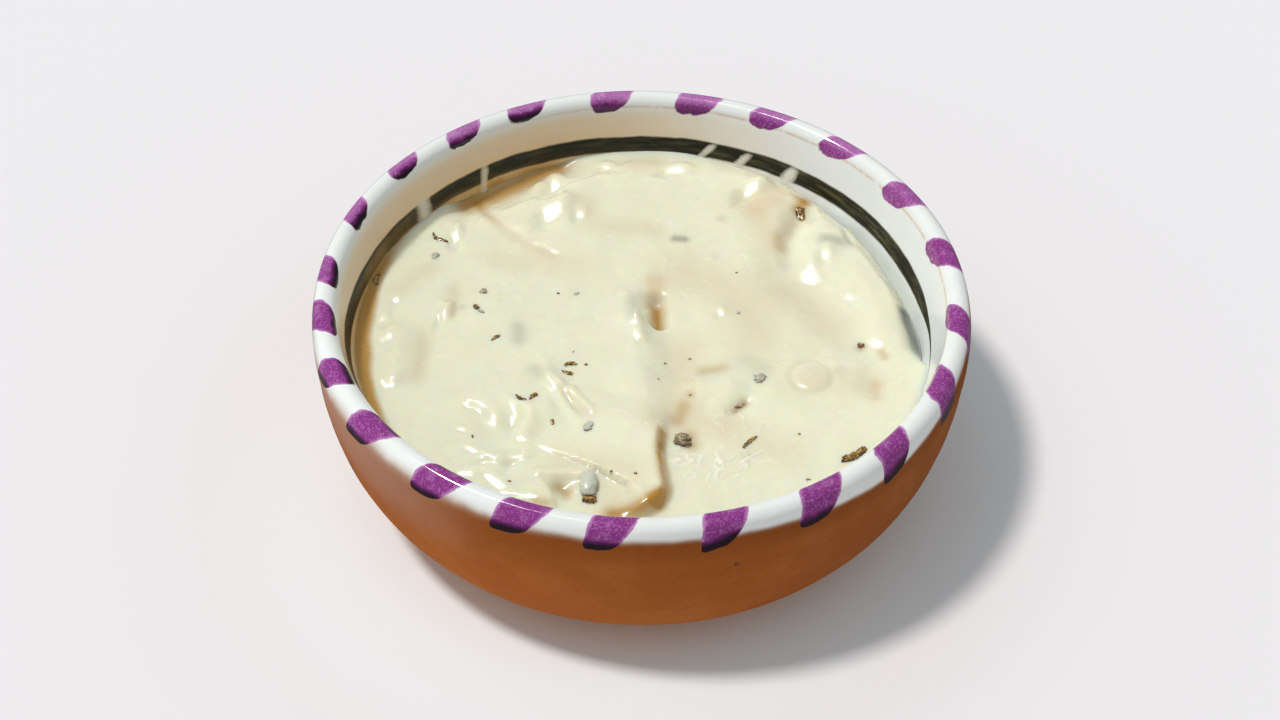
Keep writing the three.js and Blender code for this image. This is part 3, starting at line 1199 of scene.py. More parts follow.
@dataclass(frozen=True)
class Glint:
    """The flank of a small fold, tilted so that it mirrors the key light to the viewer."""

    x: float
    y: float
    length: float                # half its length
    width: float                 # half its width
    turn: float                  # degrees
    slope: ClassVar[tuple[float, float]] = (0.247, 0.333)      # the mirroring one, across and up
    step: ClassVar[float] = 0.4        # how far away the surface's own slope is felt

    def lean(self, under: Callable[[Numbers, Numbers], Numbers]) -> tuple[float, float]:
        """How far the surface without the flank is from the wanted slope.

        Args:
            under: Gives that surface's height at some places.

        Returns:
            The lean that is missing, across and up.
        """
        places = np.array([[-1, 0], [1, 0], [0, -1], [0, 1]]) * self.step + [self.x, self.y]
        left, right, front, back = under(places[:, 0], places[:, 1]) / (2 * self.step)
        return self.slope[0] - right + left, self.slope[1] - back + front

    def share(self, x: Numbers, y: Numbers, lean: tuple[float, float]) -> Numbers:
        """What the flank adds to the surface's height.

        Args:
            x: First coordinate of each place.
            y: Second coordinate of each place.
            lean: How much it leans the surface, across and up.

        Returns:
            The height added at each place.
        """
        found = np.zeros(x.shape)
        near = (np.abs(x - self.x) < 2 * self.length) & (np.abs(y - self.y) < 2 * self.length)
        dx, dy = x[near] - self.x, y[near] - self.y
        cos, sin = math.cos(math.radians(self.turn)), math.sin(math.radians(self.turn))
        along, across = (dx * cos + dy * sin) / self.length, (dy * cos - dx * sin) / self.width
        found[near] = (lean[0] * dx + lean[1] * dy) * np.exp(-((along**2 + across**2) ** 1.5))
        return found


# Coordinates are millimetres over the bowl, +x to the right and +y away from the viewer.
STEPS = (
    # the long tongue's edge, soft at the back and steep at the front
    Step(1.5, 8.0, ((4, -34), (3.6, -20), (2.4, -8), (1.5, 2), (-1, 12)), reach=16),
    Step(2.6, 2.6, ((-5, -50.5), (0, -49.8), (3.6, -47.6), (5.2, -44), (4.8, -39), (4, -33),
                    (4.6, -27), (6.5, -21)), reach=15),
    # the mass at the back, the mass beside the right-hand lump and the small flap
    Step(1.2, 10.0, ((12, 17), (-6, 19.5), (-15, 20.7), (-21, 24.5), (-27, 29), (-33, 34.5), (-35, 41)),
         reach=26, right=True),
    Step(1.2, 5.0, ((31, 18), (29.5, 26), (30.5, 33), (30, 44)), reach=14),
    Step(0.9, 1.4, ((-15.3, -51), (-16, -46.5), (-17, -42.8), (-20.5, -39.8)), reach=7),
)

BANDS = (
    # level mounds and wide hollows
    Band(1.0, 14.0, ((-14, 42), (20, 42))),
    Band(0.9, 16.0, ((-32, 4), (-28, -8))),
    Band(-1.0, 4.5, ((28, 20), (33, 14), (38, 7), (43, -2))),
    Band(1.0, 4.5, ((44, 21), (47, 12), (49, 2))),
    Band(-0.6, 3.0, ((46.5, -5), (46, -14))),
    Band(-0.8, 5.0, ((7, 0), (8, -12))),
    Band(1.7, 5.5, ((36, 24), (39, 29))),
    Band(-1.2, 2.4, ((33, 37), (31, 32), (30, 27), (31, 22))),
    # the hollow by the back wall, with the crease that runs from it
    Band(-2.2, 4.4, ((-38, 41), (-29, 46.5), (-19, 53))),
    Band(-0.32, 1.5, ((-35, 43), (-33.5, 36), (-28, 30), (-22, 25), (-15, 21.5), (-5, 20)), 0.3),
    # the lump in the middle and the pit beside it
    Band(1.6, 3.2, ((-2.2, 9.5), (-1.2, 3.5))),
    Band(0.7, 1.3, ((-1, 3), (0.2, -2.6))),
    Band(-2.4, 1.9, ((3.0, 10.5), (3.3, 4.0))),
    # the left-hand column and its grooves
    Band(-0.6, 2.2, ((-43.8, 3), (-43.7, -8), (-44.2, -19)), 0.3),
    Band(0.7, 2.6, ((-50.2, 4), (-49.4, -7), (-48.2, -17)), 0.2),
    Band(-0.5, 1.9, ((-38, 16), (-38.3, 8), (-38.6, 1)), 0.3),
    Band(0.6, 1.1, ((-40.9, 10), (-40.6, 4), (-41.2, -3)), 0.3),
    # folds in front of the middle
    Band(0.7, 1.6, ((-21, -10.5), (-17.8, -14.5), (-16, -17.5), (-14.6, -21.5), (-13.2, -26)), 0.25),
    Band(-0.6, 0.9, ((-15.8, -15.5), (-13, -20.5), (-10, -25.2)), 0.2),
    Band(0.6, 0.9, ((-14.4, -15.5), (-11.6, -20.5), (-8.6, -25)), 0.2),
    Band(0.6, 1.6, ((-26.5, -18), (-22.8, -22), (-20.9, -25.5), (-20.9, -29), (-22, -32.2), (-24.2, -34.6),
                    (-28, -35.2), (-32, -33)), 0.15),
    Band(0.5, 1.6, ((-36, -17.5), (-31.5, -20.6), (-29, -23), (-26.9, -28)), 0.25),
    Band(-0.8, 3.0, ((-28, -30), (-26.5, -27))),
    # the flap and the hollow under it
    Band(0.9, 1.3, ((-19.3, -39.6), (-15, -39.4), (-10.5, -39.2))),
    Band(-1.1, 2.0, ((-14.6, -43), (-13.5, -44.8))),
    # the mound and the disc on the right
    Band(1.2, 3.8, ((12.5, -15), (17, -15.5))),
    Band(-0.8, 1.5, ((18.2, -21.5), (20.5, -19))),
    Band(0.6, 3.4, ((34, -11.5),)),
    Band(-0.3, 0.8, ((38.2, -11.5), (37, -14.5), (34, -15.7), (31, -14.5), (29.8, -11.5),
                     (31, -8.5), (34, -7.3), (37, -8.5), (38.2, -11.5))),
)

# patches of wrinkled skin at the front on the right
WRINKLE_PATCHES = (
    Band(1.0, 5.0, ((9, -35.5), (21, -37.0))),
    Band(0.8, 3.5, ((18, -24.5), (22, -25.5))),
)

# flanks of small folds that mirror the key light towards the viewer
GLINTS = (
    # the mass at the back
    Glint(-19.0, 35.5, 5.4, 3.0, 63), Glint(-19.6, 46.4, 4.4, 2.6, 91), Glint(-22.3, 44.0, 3.2, 1.9, 95),
    Glint(-13.4, 34.8, 2.4, 1.6, 70),
    Glint(6.8, 51.0, 3.8, 2.2, 12), Glint(-8.1, 51.6, 2.2, 2.0, 25), Glint(23.2, 44.9, 5.4, 2.4, 55),
    # the mound beside the notch, and the right
    Glint(38.0, 23.7, 2.9, 1.6, 80), Glint(36.5, 38.6, 3.1, 1.2, 69), Glint(43.6, 31.3, 2.9, 1.2, 98),
    Glint(42.6, 11.4, 1.8, 1.2, 106), Glint(16.1, 6.6, 1.8, 1.4, 88),
    # the left-hand column
    Glint(-51.2, -2.4, 3.4, 2.0, 100), Glint(-52.2, 2.4, 2.6, 1.4, 95),
    Glint(-49.8, -16.0, 3.0, 1.8, 69), Glint(-40.1, 3.6, 4.0, 1.3, 75),
    Glint(-39.4, 28.9, 3.8, 1.5, 88), Glint(-50.3, 9.0, 2.2, 1.2, 88),
    # folds in front of the middle
    Glint(-17.0, -16.8, 7.5, 1.8, 108), Glint(-14.0, -19.3, 4.4, 0.9, 117),
    Glint(-32.1, -21.6, 4.2, 3.2, 126), Glint(-29.0, -25.8, 4.8, 2.4, 119),
    Glint(-24.6, -21.9, 3.0, 1.2, 123), Glint(-33.9, -21.2, 1.6, 1.2, 87),
    Glint(-21.2, -26.0, 5.6, 3.8, 58), Glint(-23.8, -32.0, 5.2, 2.0, 76), Glint(-27.2, -35.8, 4.8, 1.3, 14),
    Glint(-31.6, -33.6, 3.0, 1.0, 150), Glint(-34.6, -28.0, 1.8, 1.0, 161),
    Glint(-26.7, -42.3, 5.4, 1.7, 131), Glint(-33.2, -39.6, 2.6, 1.2, 5), Glint(-22.3, -45.2, 3.6, 0.9, 163),
    # the lump in the middle
    Glint(-0.7, -2.7, 2.6, 1.0, 108), Glint(-1.8, 0.5, 1.8, 0.9, 86),
)

# painted shade: amber in creases, under the flap and beside steps, where the sauce lies in shade
AMBER_TINTS = (
    Band(0.95, 1.1, ((4.3, -29), (3.9, -34.5), (4.6, -40), (5.1, -44), (3.4, -47.4))),
    Band(0.90, 1.9, ((3.0, -47), (0, -49), (-5, -49.6))),
    Band(0.65, 1.5, ((-15.3, -42.3), (-13.8, -43.5))),
    Band(0.55, 1.3, ((-19.5, -46.8), (-17.5, -47.6))),
    Band(0.95, 1.3, ((2.9, 9.0), (3.4, 3.6))),
    Band(0.45, 1.5, ((8.6, -20.5), (7.3, -24.5))),
    Band(0.50, 1.6, ((9.7, -28.5), (10.0, -31.0))),
    Band(0.40, 1.6, ((12.5, -10.5), (16, -9.6))),
    Band(0.30, 1.1, ((9.8, -17.5),)),
    Band(0.70, 0.9, ((18.7, -21.2), (20.5, -19.0))),
    Band(0.90, 1.6, ((34.8, 42.8), (33.2, 39.5))),
    Band(0.45, 1.6, ((28.7, 29.5), (28.9, 26.8))),
    Band(0.35, 1.6, ((32.4, 36), (30.4, 32))),
    Band(0.45, 1.0, ((-35.4, 45), (-34.4, 39), (-32, 34.5), (-28.5, 30.5)), 0.4),
    Band(0.90, 3.2, ((-38, 41.5), (-30, 46.0), (-25, 49.5), (-19, 53.5))),
    Band(0.40, 1.0, ((47.8, -2.5), (48.8, -5.5))),
    Band(0.45, 1.2, ((44.1, -2.2),)),
)

# painted shade: tan laid in hollows, grooves and slopes facing away from the light
TAN_TINTS = (
    Band(0.90, 2.2, ((2.6, 16), (3, 8))),
    Band(0.45, 1.7, ((-33, 36), (-27, 29), (-21, 24.5), (-13, 20.5)), 0.35),
    Band(0.60, 1.9, ((-43.6, 3), (-44.0, -18)), 0.3),
    Band(0.50, 1.8, ((-38.4, 16), (-38, 1)), 0.3),
    Band(0.55, 6.5, ((8, 19), (20, 11), (23, 0))),
    Band(0.50, 5.5, ((30, 15), (38, 4))),
    Band(0.50, 4.5, ((33, -13), (45, -13))),
    Band(0.60, 4.0, ((9, -4), (8, -20))),
    Band(0.50, 3.5, ((16, -25), (3, -26))),
    Band(0.35, 4.5, ((18, -29), (28, -33))),
    Band(0.60, 3.6, ((-38, 42), (-30, 46.5), (-20, 53.5))),
    Band(0.70, 5.0, ((24, 40), (31, 44))),
    Band(0.45, 3.0, ((-12, 39), (-10, 32), (2, 31))),
    Band(0.60, 2.5, ((-2, 53), (3, 54))),
    Band(0.50, 4.0, ((26, 26), (24, 38))),
    Band(0.45, 4.0, ((-14, -36), (-2, -40), (-6, -46))),
    Band(0.40, 4.0, ((-30, 22), (-14, 20))),
    Band(0.60, 1.6, ((46.6, -13), (46.2, -17))),
    Band(0.35, 1.3, ((-15.2, -17), (-10.4, -24.8))),
    Band(0.40, 2.5, ((-50, 12), (-44, 19))),
)

# grey over herbs under thin sauce; the last three are painted reflection
SUNK_TINTS = (
    Band(0.28, 1.8, ((-24.8, 0.5), (-24.6, -3.0))),
    Band(0.22, 1.7, ((-21.0, -11.5), (-20.0, -13.0))),
    Band(0.25, 1.6, ((-2.2, 9.0), (-1.6, 3.0))),
    Band(0.55, 1.1, ((6.8, 28.6), (8.8, 28.4))),
    Band(0.20, 1.2, ((16.5, 34.6),)),
    Band(0.40, 1.9, ((38.4, 28.3), (41.4, 27.8))),
    Band(0.16, 2.6, ((21.0, -7.5), (24.0, -9.5))),
    Band(0.20, 1.0, ((-36.4, 6.2),)),
    Band(0.15, 1.0, ((15.0, 23.4),)),
    Band(0.12, 1.4, ((39.5, -10.0),)),
    Band(0.10, 1.6, ((-8.0, -38.5), (-9.0, -41.0))),
    Band(0.18, 1.0, ((20.5, -34.0),)),
    # painted reflection: the dark line along the right-hand wall, where the sauce's steep edge mirrors the
    # dark ring, darkest at its near end
    Band(0.95, 1.6, ((53.2, 11.0), (54.8, 3.0), (56.2, -6.0)), 0.2),
    Band(0.34, 1.0, ((38.5, 43), (46.0, 31), (51.0, 19), (54.0, 8))),
    Band(0.18, 1.2, ((52.8, 5.0), (53.6, -2.5))),
)


@dataclass
class Sauce:
    """The sauce: an uneven surface, closed down the wall and over the well."""

    bowl: Bowl
    level: float = 12.6          # mean depth of the surface below the lip's crest
    shoulder: float = 4.5        # how far from the wall the surface starts to turn down
    into_wall: float = 0.15      # how far its sides reach into the bowl's wall
    around: int = 600
    rings: int = 150
    crowding: float = 1.15       # above 1, the rings lie closer together near the wall
    side_rings: int = 10
    # general unevenness: height and kind
    lumps: tuple[tuple[float, Grain], ...] = ((0.25, Grain(21, 13.0, 2)), (0.10, Grain(31, 4.6, 2)))
    wrinkles: Grain = Grain(45, 5.0, 2)
    wrinkle_height: float = 0.4
    wrinkle_narrowness: float = 7.0
    wrinkle_dryness: float = 0.8
    edge_stain: float = 3.7      # how wide the painted shadow along the sauce's left edge is where it is widest
    edge_stain_at: float = 188.0
    edge_stain_spread: float = 34.0
    edge_amber: float = 0.95
    edge_tan: float = 0.6
    edge_waver: float = 0.12     # how much its width varies
    edge_waves: Grain = Grain(61, 7.0)
    # height of the edge on the wall at some angles, as depth below the lip's crest
    edge_depths: Path = (
        (-60, 13.6), (-38, 11.6), (-22, 9.2), (-11, 9.6), (-4, 15.4), (20, 17.6), (38, 16.4),
        (62, 13.4), (85, 11.6), (106, 12.2), (122, 13.4), (139, 11.7), (156, 12.1), (172, 12.2),
        (184, 11.0), (194, 9.6), (208, 9.6), (250, 13.8),
    )

    def __post_init__(self) -> None:
        """Works out the sauce's sides, along the bowl's wall, and how each glint leans."""
        wall = self.bowl.inner_wall(400)
        tangent = np.gradient(wall, axis=0)
        tangent /= np.linalg.norm(tangent, axis=1)[:, None]
        outward = np.stack([-tangent[:, 1], tangent[:, 0]], -1)
        self.skin = wall + self.into_wall * outward
        self.flanks = [(glint, glint.lean(self.broad_height)) for glint in GLINTS]

    def edge_height(self, degrees: Numbers) -> Numbers:
        """Height of the edge on the wall.

        Args:
            degrees: Some angles.

        Returns:
            The height above the floor at each angle.
        """
        first = self.edge_depths[0]
        table = (*self.edge_depths, (first[0] + 360, first[1]))
        turned = (degrees - first[0]) % 360.0 + first[0]
        depth = np.zeros_like(turned)
        for (angle_a, depth_a), (angle_b, depth_b) in zip(table[:-1], table[1:]):
            here = (turned >= angle_a) & (turned < angle_b)
            depth[here] = depth_a + (depth_b - depth_a) * smooth(turned[here], angle_a, angle_b)
        return self.bowl.height - depth

    def reach(self, degrees: Numbers) -> Numbers:
        """How far from the middle the surface meets the wall, at some angles."""
        return np.interp(-self.edge_height(degrees), -self.skin[:, 1], self.skin[:, 0])

    def broad_height(self, x: Numbers, y: Numbers) -> Numbers:
        """Height of the surface away from the wall, without its small flanks and wrinkles.

        Args:
            x: First coordinate of each place.
            y: Second coordinate of each place.

        Returns:
            The height above the floor at each place.
        """
        height = np.full(x.shape, self.bowl.height - self.level)
        for mark in (*STEPS, *BANDS):
            height += mark.share(x, y)
        for amount, lumps in self.lumps:
            height += amount * lumps(x, y)
        return height

    def open_height(self, x: Numbers, y: Numbers) -> Numbers:
        """Height of the surface away from the wall, with every mark and fine unevenness.

        Args:
            x: First coordinate of each place.
            y: Second coordinate of each place.

        Returns:
            The height above the floor at each place.
        """
        height = self.broad_height(x, y) + self.wrinkle_height * self.wrinkled(x, y)
        for glint, lean in self.flanks:
            height += glint.share(x, y, lean)
        return height

    def wrinkled(self, x: Numbers, y: Numbers) -> Numbers:
        """Fine ridges where the sauce's skin has wrinkled, at the front on the right.

        Args:
            x: First coordinate of each place.
            y: Second coordinate of each place.

        Returns:
            The ridges at each place, from 0 to 1.
        """
        patches = sum(patch.share(x, y) for patch in WRINKLE_PATCHES)
        crests = 1.0 - np.abs(self.wrinkles(x, y)) * self.wrinkle_narrowness
        return np.clip(crests, 0.0, 1.0) ** 2 * np.clip(patches, 0.0, 1.0)

    def surface_height(self, x: Numbers, y: Numbers) -> Numbers:
        """Height of the surface anywhere over the sauce.

        Args:
            x: First coordinate of each place.
            y: Second coordinate of each place.

        Returns:
            The height above the floor at each place.
        """
        degrees = np.degrees(np.arctan2(y, x))
        edge = self.edge_height(degrees)
        inwards = np.clip((self.reach(degrees) - np.hypot(x, y)) / self.shoulder, 0.0, 1.0)
        turned = np.sqrt(1.0 - (1.0 - inwards) ** 2)
        return edge + (self.open_height(x, y) - edge) * turned

    def tints(self, x: Numbers, y: Numbers) -> dict[str, Numbers]:
        """How much painted amber and tan shade, grey over herbs with painted reflection, and painted
        highlight the surface gets.

        Args:
            x: First coordinate of each place.
            y: Second coordinate of each place.

        Returns:
            Each tint's strength at each place.
        """
        degrees = np.degrees(np.arctan2(y, x))
        off_wall = self.reach(degrees) - np.hypot(x, y)
        # painted shadow: an amber band along the sauce's left edge, where the rim's shadow falls
        wide = self.edge_stain * hump(degrees, self.edge_stain_at, self.edge_stain_spread)
        wide = wide * (1.0 + self.edge_waver * self.edge_waves(x, y))
        edge = smooth(wide - off_wall, -0.8, 1.1) * smooth(wide, 0.6, 2.0) * self.edge_amber
        amber, tan, sunk = (sum(tint.share(x, y) for tint in tints)
                            for tints in (AMBER_TINTS, TAN_TINTS, SUNK_TINTS))
        # painted highlight: the crests of the wrinkled skin are painted paler
        dried = self.wrinkle_dryness * self.wrinkled(x, y)
        return {"amber": edge + amber, "tan": edge * self.edge_tan + tan, "sunk": sunk, "dried": dried}

    def mesh(self) -> bpy.types.Object:
        """Builds the sauce's closed mesh.

        Returns:
            The sauce.
        """
        turn = np.arange(self.around) * 2 * np.pi / self.around
        degrees = np.degrees(turn)
        out = 1.0 - (1.0 - np.arange(1, self.rings + 1) / self.rings) ** self.crowding
        radius = out[:, None] * self.reach(degrees)
        x, y = radius * np.cos(turn), radius * np.sin(turn)
        top = np.stack([x, y, self.surface_height(x, y)], -1)
        places = np.arange(len(self.skin))
        start = np.interp(-self.edge_height(degrees), -self.skin[:, 1], places / places[-1])
        down = (np.arange(1, self.side_rings + 1) / self.side_rings)[:, None]
        down = (start + (1.0 - start) * down) * places[-1]
        wide, tall = (np.interp(down, places, column) for column in self.skin.T)
        sides = np.stack([wide * np.cos(turn), wide * np.sin(turn), tall], -1)
        middle = self.surface_height(np.zeros(1), np.zeros(1))[0]
        ends = [[0.0, 0.0, middle], [0.0, 0.0, self.skin[-1, 1] - self.bowl.well_dish]]
        form = Form()
        form.tube(np.concatenate([top, sides]), ends, turned=True, **self.tints(x, y))
        return form.build("garlic_herb_sauce")

    def dress(self, sauce: bpy.types.Object) -> None:
        """Gives the sauce its finish and ties it to the frame."""
        present(sauce, ThickSauce().material(), "sauce", "sauce")


# ------------------------------------------------------------------------------- The herbs


class HerbKind(Enum):
    """How a scrap of herb or pickle was cut."""

    SLIVER = "herb_slivers"
    CHUNK = "herb_chunks"
    SPECK = "herb_specks"


@dataclass(frozen=True)
class Scrap:
    """One scrap, at the place where the photograph's viewer sees it.

    x and y are on the level plane `Herbs.view_level` below the lip's crest. `Herbs` slides the
    scrap along the line of sight from there to the sauce's surface.
    """

    kind: HerbKind
    x: float
    y: float
    length: float
    breadth: float               # as it looks, with the sauce drawn up round it
    turn: float                  # degrees
    tone: float = 0.3            # 0 is brown, 1 is green
    veil: float = 0.0            # how grey a thin skin of sauce makes it
    bend: float = 0.0            # degrees along its length
    sink: float = 0.66           # how deep it sits, as a share of its thickness

    def girth(self) -> tuple[float, float]:
        """Its own breadth and thickness, in millimetres."""
        narrow, flat = (0.78, 0.60) if self.kind is HerbKind.SLIVER else (0.92, 0.75)
        return self.breadth * narrow, self.breadth * narrow * flat


SLIVER, CHUNK, SPECK = HerbKind.SLIVER, HerbKind.CHUNK, HerbKind.SPECK

SCRAPS = (
    Scrap(SLIVER, -43.6, 27.2, 3.0, 0.9, -55, 0.1, bend=60),
    Scrap(SLIVER, -42.3, 26.3, 3.2, 1.0, -18, 0.1, bend=-20),
    Scrap(CHUNK, -43.2, 20.9, 2.3, 1.3, 70, 0.5, veil=0.35),
    Scrap(SLIVER, -54.8, 13.6, 3.8, 1.2, 82, 0.1, bend=-50),
    Scrap(CHUNK, -32.5, 10.3, 1.6, 1.4, 20, 0.0, veil=0.2),
    Scrap(SLIVER, -33.9, 5.9, 2.4, 1.1, -62, 0.4, bend=30),
    Scrap(SLIVER, -32.6, 4.3, 1.7, 0.8, -30, 0.3, bend=-20, veil=0.2),
    Scrap(SLIVER, -29.2, -3.3, 2.6, 1.0, 40, 0.4, bend=-30),
    Scrap(SLIVER, -13.8, -10.6, 3.4, 1.1, 4, 0.2, bend=-110, sink=0.45),
    Scrap(SLIVER, -14.8, -13.2, 2.8, 1.0, -24, 0.2, bend=40),
    Scrap(SLIVER, -23.5, -20.7, 2.8, 1.0, -36, 0.0, bend=60, sink=0.45),
    Scrap(SLIVER, -21.2, -20.1, 2.8, 1.0, 58, 0.0, bend=-45, sink=0.45),
    Scrap(CHUNK, -9.9, -27.9, 2.9, 1.9, 62, 0.6, veil=0.45),
    Scrap(CHUNK, -9.6, -44.0, 5.8, 3.4, 86, 0.5, veil=1.0, sink=0.10),
    Scrap(CHUNK, -9.3, -47.6, 2.9, 1.7, 6, 0.0, sink=0.45),
    Scrap(CHUNK, 8.4, -31.1, 4.0, 3.0, 72, 0.5, veil=0.1, sink=0.6),
    Scrap(SLIVER, 21.1, -31.7, 4.3, 1.1, 52, 0.5, bend=-30),
    Scrap(CHUNK, 23.6, -14.1, 2.6, 2.4, 80, 0.6, veil=0.3),
    Scrap(SLIVER, 19.5, -21.8, 2.4, 1.1, 40, 0.0, bend=30, veil=0.15),
    Scrap(CHUNK, 33.6, 35.7, 3.9, 1.7, -76, 0.1, sink=0.4),
    Scrap(CHUNK, 44.1, -3.8, 1.9, 1.1, -62, 0.0),
    Scrap(SLIVER, 41.3, -35.1, 6.2, 1.7, 38, 0.1, bend=24, sink=0.3),
    Scrap(SLIVER, 40.4, -35.3, 3.2, 1.0, 18, 0.0, bend=-40, sink=0.3),
    Scrap(SPECK, -17.0, -27.0, 1.4, 0.8, 100, 0.0),
    Scrap(SPECK, -32.3, -31.3, 1.0, 0.5, 95, 0.1),
    Scrap(SPECK, -11.0, -10.8, 0.8, 0.6, 0, 0.3),
    Scrap(SPECK, 4.9, -10.2, 0.7, 0.5, 0, 0.2),
    Scrap(SPECK, 9.8, -8.8, 0.7, 0.5, 0, 0.4),
    Scrap(SPECK, 9.8, -19.0, 0.7, 0.5, 30, 0.1),
    Scrap(SPECK, 31.0, -29.3, 0.7, 0.5, 0, 0.3),
    Scrap(SPECK, -5.3, -39.8, 0.6, 0.5, 0, 0.3),
    Scrap(SPECK, -0.7, -40.2, 0.7, 0.6, 0, 0.3),
    Scrap(SPECK, -13.6, -7.2, 0.6, 0.4, 0, 0.3),
    Scrap(SPECK, -17.2, 10.1, 0.8, 0.5, 0, 0.4),
    Scrap(SPECK, -13.5, 10.1, 1.4, 0.9, 30, 0.4, veil=0.4),
    Scrap(SPECK, 19.5, 17.3, 0.6, 0.4, 0, 0.3),
    Scrap(SPECK, 3.4, -14.6, 0.6, 0.4, 0, 0.1),
    Scrap(SPECK, 19.5, 5.0, 1.2, 0.6, 30, 0.5, veil=0.4),
    Scrap(SPECK, -24.7, -43.0, 0.8, 0.5, 0, 0.2),
    Scrap(SPECK, 32.2, -41.4, 1.0, 0.5, 0, 0.0),
)


@dataclass
class Herbs:
    """The chopped herbs and pickle in the sauce, one joined mesh for each cut."""

    sauce: Sauce
    view_level: float = 11.0     # depth below the crest of the plane on which scraps are placed
    view_elevation: float = 43.8
    fineness: tuple[int, int] = (34, 26)         # points along a scrap and round it
    speck_fineness: tuple[int, int] = (11, 12)
    seed: int = 8
    lump_seed: int = 100
    lump_size: float = 0.8
    lumpiness: float = 0.62      # of a bare scrap
    veil_smooths: float = 0.45   # how much less lumpy a veiled one is
    tapers: tuple[float, float] = (0.2, 0.6)     # the least and the most that a scrap tapers
    tilt: float = 0.25           # the steepest that a scrap lies

    def seat(self, scrap: Scrap) -> Points:
        """Where a scrap meets the surface, along the photograph's line of sight.

        Args:
            scrap: The scrap.

        Returns:
            The point.
        """
        slope = 1.0 / math.tan(math.radians(self.view_elevation))
        plane = self.sauce.bowl.height - self.view_level
        y, height = scrap.y, plane
        for _ in range(6):
            height = float(self.sauce.surface_height(np.array([scrap.x]), np.array([y]))[0])
            y = scrap.y - (height - plane) * slope
        return np.array([scrap.x, y, height])

    def shape(self, number: int, scrap: Scrap) -> tuple[Points, Numbers]:
        """A scrap's own form: a bent sliver or an uneven chunk, tapered to one end.

        Args:
            number: Its place in the list, which seeds its unevenness.
            scrap: The scrap.

        Returns:
            Its points, a ring across it in a row, as if it lay at the origin and pointed
            to +X, and how far up each point faces.
        """
        random = np.random.default_rng(self.seed + number)
        rows, around = self.speck_fineness if scrap.kind is SPECK else self.fineness
        along = np.linspace(0.0, np.pi, rows)[1:-1, None]
        turn = np.arange(around) * 2 * np.pi / around
        breadth, thick = scrap.girth()
        blunt, square = np.sin(along) ** (0.6 + 0.1 * scrap.veil), 0.8 + 0.2 * scrap.veil
        u = -np.cos(along) + 0.0 * turn
        v, w = (blunt * np.sign(wave) * np.abs(wave) ** square for wave in (np.cos(turn), np.sin(turn)))
        lumps = Grain(self.lump_seed + number, self.lump_size, 2)
        lumpiness = self.lumpiness - self.veil_smooths * scrap.veil
        rough = 1.0 + lumpiness * lumps(u * 1.9 + 1.5 * v, w * 1.4 - 0.9 * v)
        taper = random.choice([-1.0, 1.0]) * random.uniform(*self.tapers) * (1.0 - 0.7 * scrap.veil)
        taper = 1.0 + taper * u
        up = np.clip(w * rough, -1.0, 1.0)
        u = u * scrap.length / 2 * (0.9 + 0.1 * rough)
        v, w = v * breadth / 2 * rough * taper, w * thick / 2 * rough * taper
        bend = math.radians(scrap.bend)
        if bend:
            radius = scrap.length / bend
            u, v = np.sin(u / radius) * (radius - v), radius - np.cos(u / radius) * (radius - v)
        w = w + u * random.uniform(-self.tilt, self.tilt) + thick * (0.5 - scrap.sink)
        return np.stack([u, v, w], -1), up

    def mesh(self, kind: HerbKind) -> bpy.types.Object:
        """Builds every scrap of one cut as one mesh.

        Args:
            kind: The cut.

        Returns:
            The joined scraps.
        """
        form = Form()
        for number, scrap in enumerate(SCRAPS):
            if scrap.kind is not kind:
                continue
            own, up = self.shape(number, scrap)
            cos, sin = math.cos(math.radians(scrap.turn)), math.sin(math.radians(scrap.turn))
            spin = np.array([[cos, sin, 0.0], [-sin, cos, 0.0], [0.0, 0.0, 1.0]])
            rings = self.seat(scrap) + own @ spin
            ends = rings[[0, -1]].mean(1)
            form.tube(rings, ends, turned=True, tone=scrap.tone, veil=scrap.veil, top=up)
        return form.build(kind.value)

    def dress(self, herbs: bpy.types.Object) -> None:
        """Gives a joined mesh of scraps its finish and ties it to the frame."""
        present(herbs, WetHerb().material(herbs.name + "_finish"), "herb")


# ------------------------------------------------------------------------------ The studio


@dataclass
class Sun:
    """A distant light and the way it comes from."""

    name: str
    azimuth: float               # degrees
    elevation: float             # degrees
    strength: float
    spread: float                # degrees across
    mirrored: bool = True        # whether it shows in glossy surfaces
    colour: Colour = (1.0, 1.0, 1.0)
    shades: bool = True          # whether it throws shadows

    def hang(self) -> bpy.types.Object:
        """Makes the light.

        Returns:
            The light, linked to the scene.
        """
        lamp = bpy.data.lights.new(self.name, "SUN")
        lamp.energy = self.strength
        lamp.angle = math.radians(self.spread)
        lamp.color = self.colour
        lamp.use_shadow = self.shades
        hung = show(bpy.data.objects.new(self.name, lamp))
        hung.visible_glossy = self.mirrored
        azimuth, elevation = math.radians(self.azimuth), math.radians(self.elevation)
        level = math.cos(elevation)
        towards = Vector((level * math.cos(azimuth), level * math.sin(azimuth), math.sin(elevation)))
        hung.rotation_euler = towards.to_track_quat("Z", "Y").to_euler()
        return hung


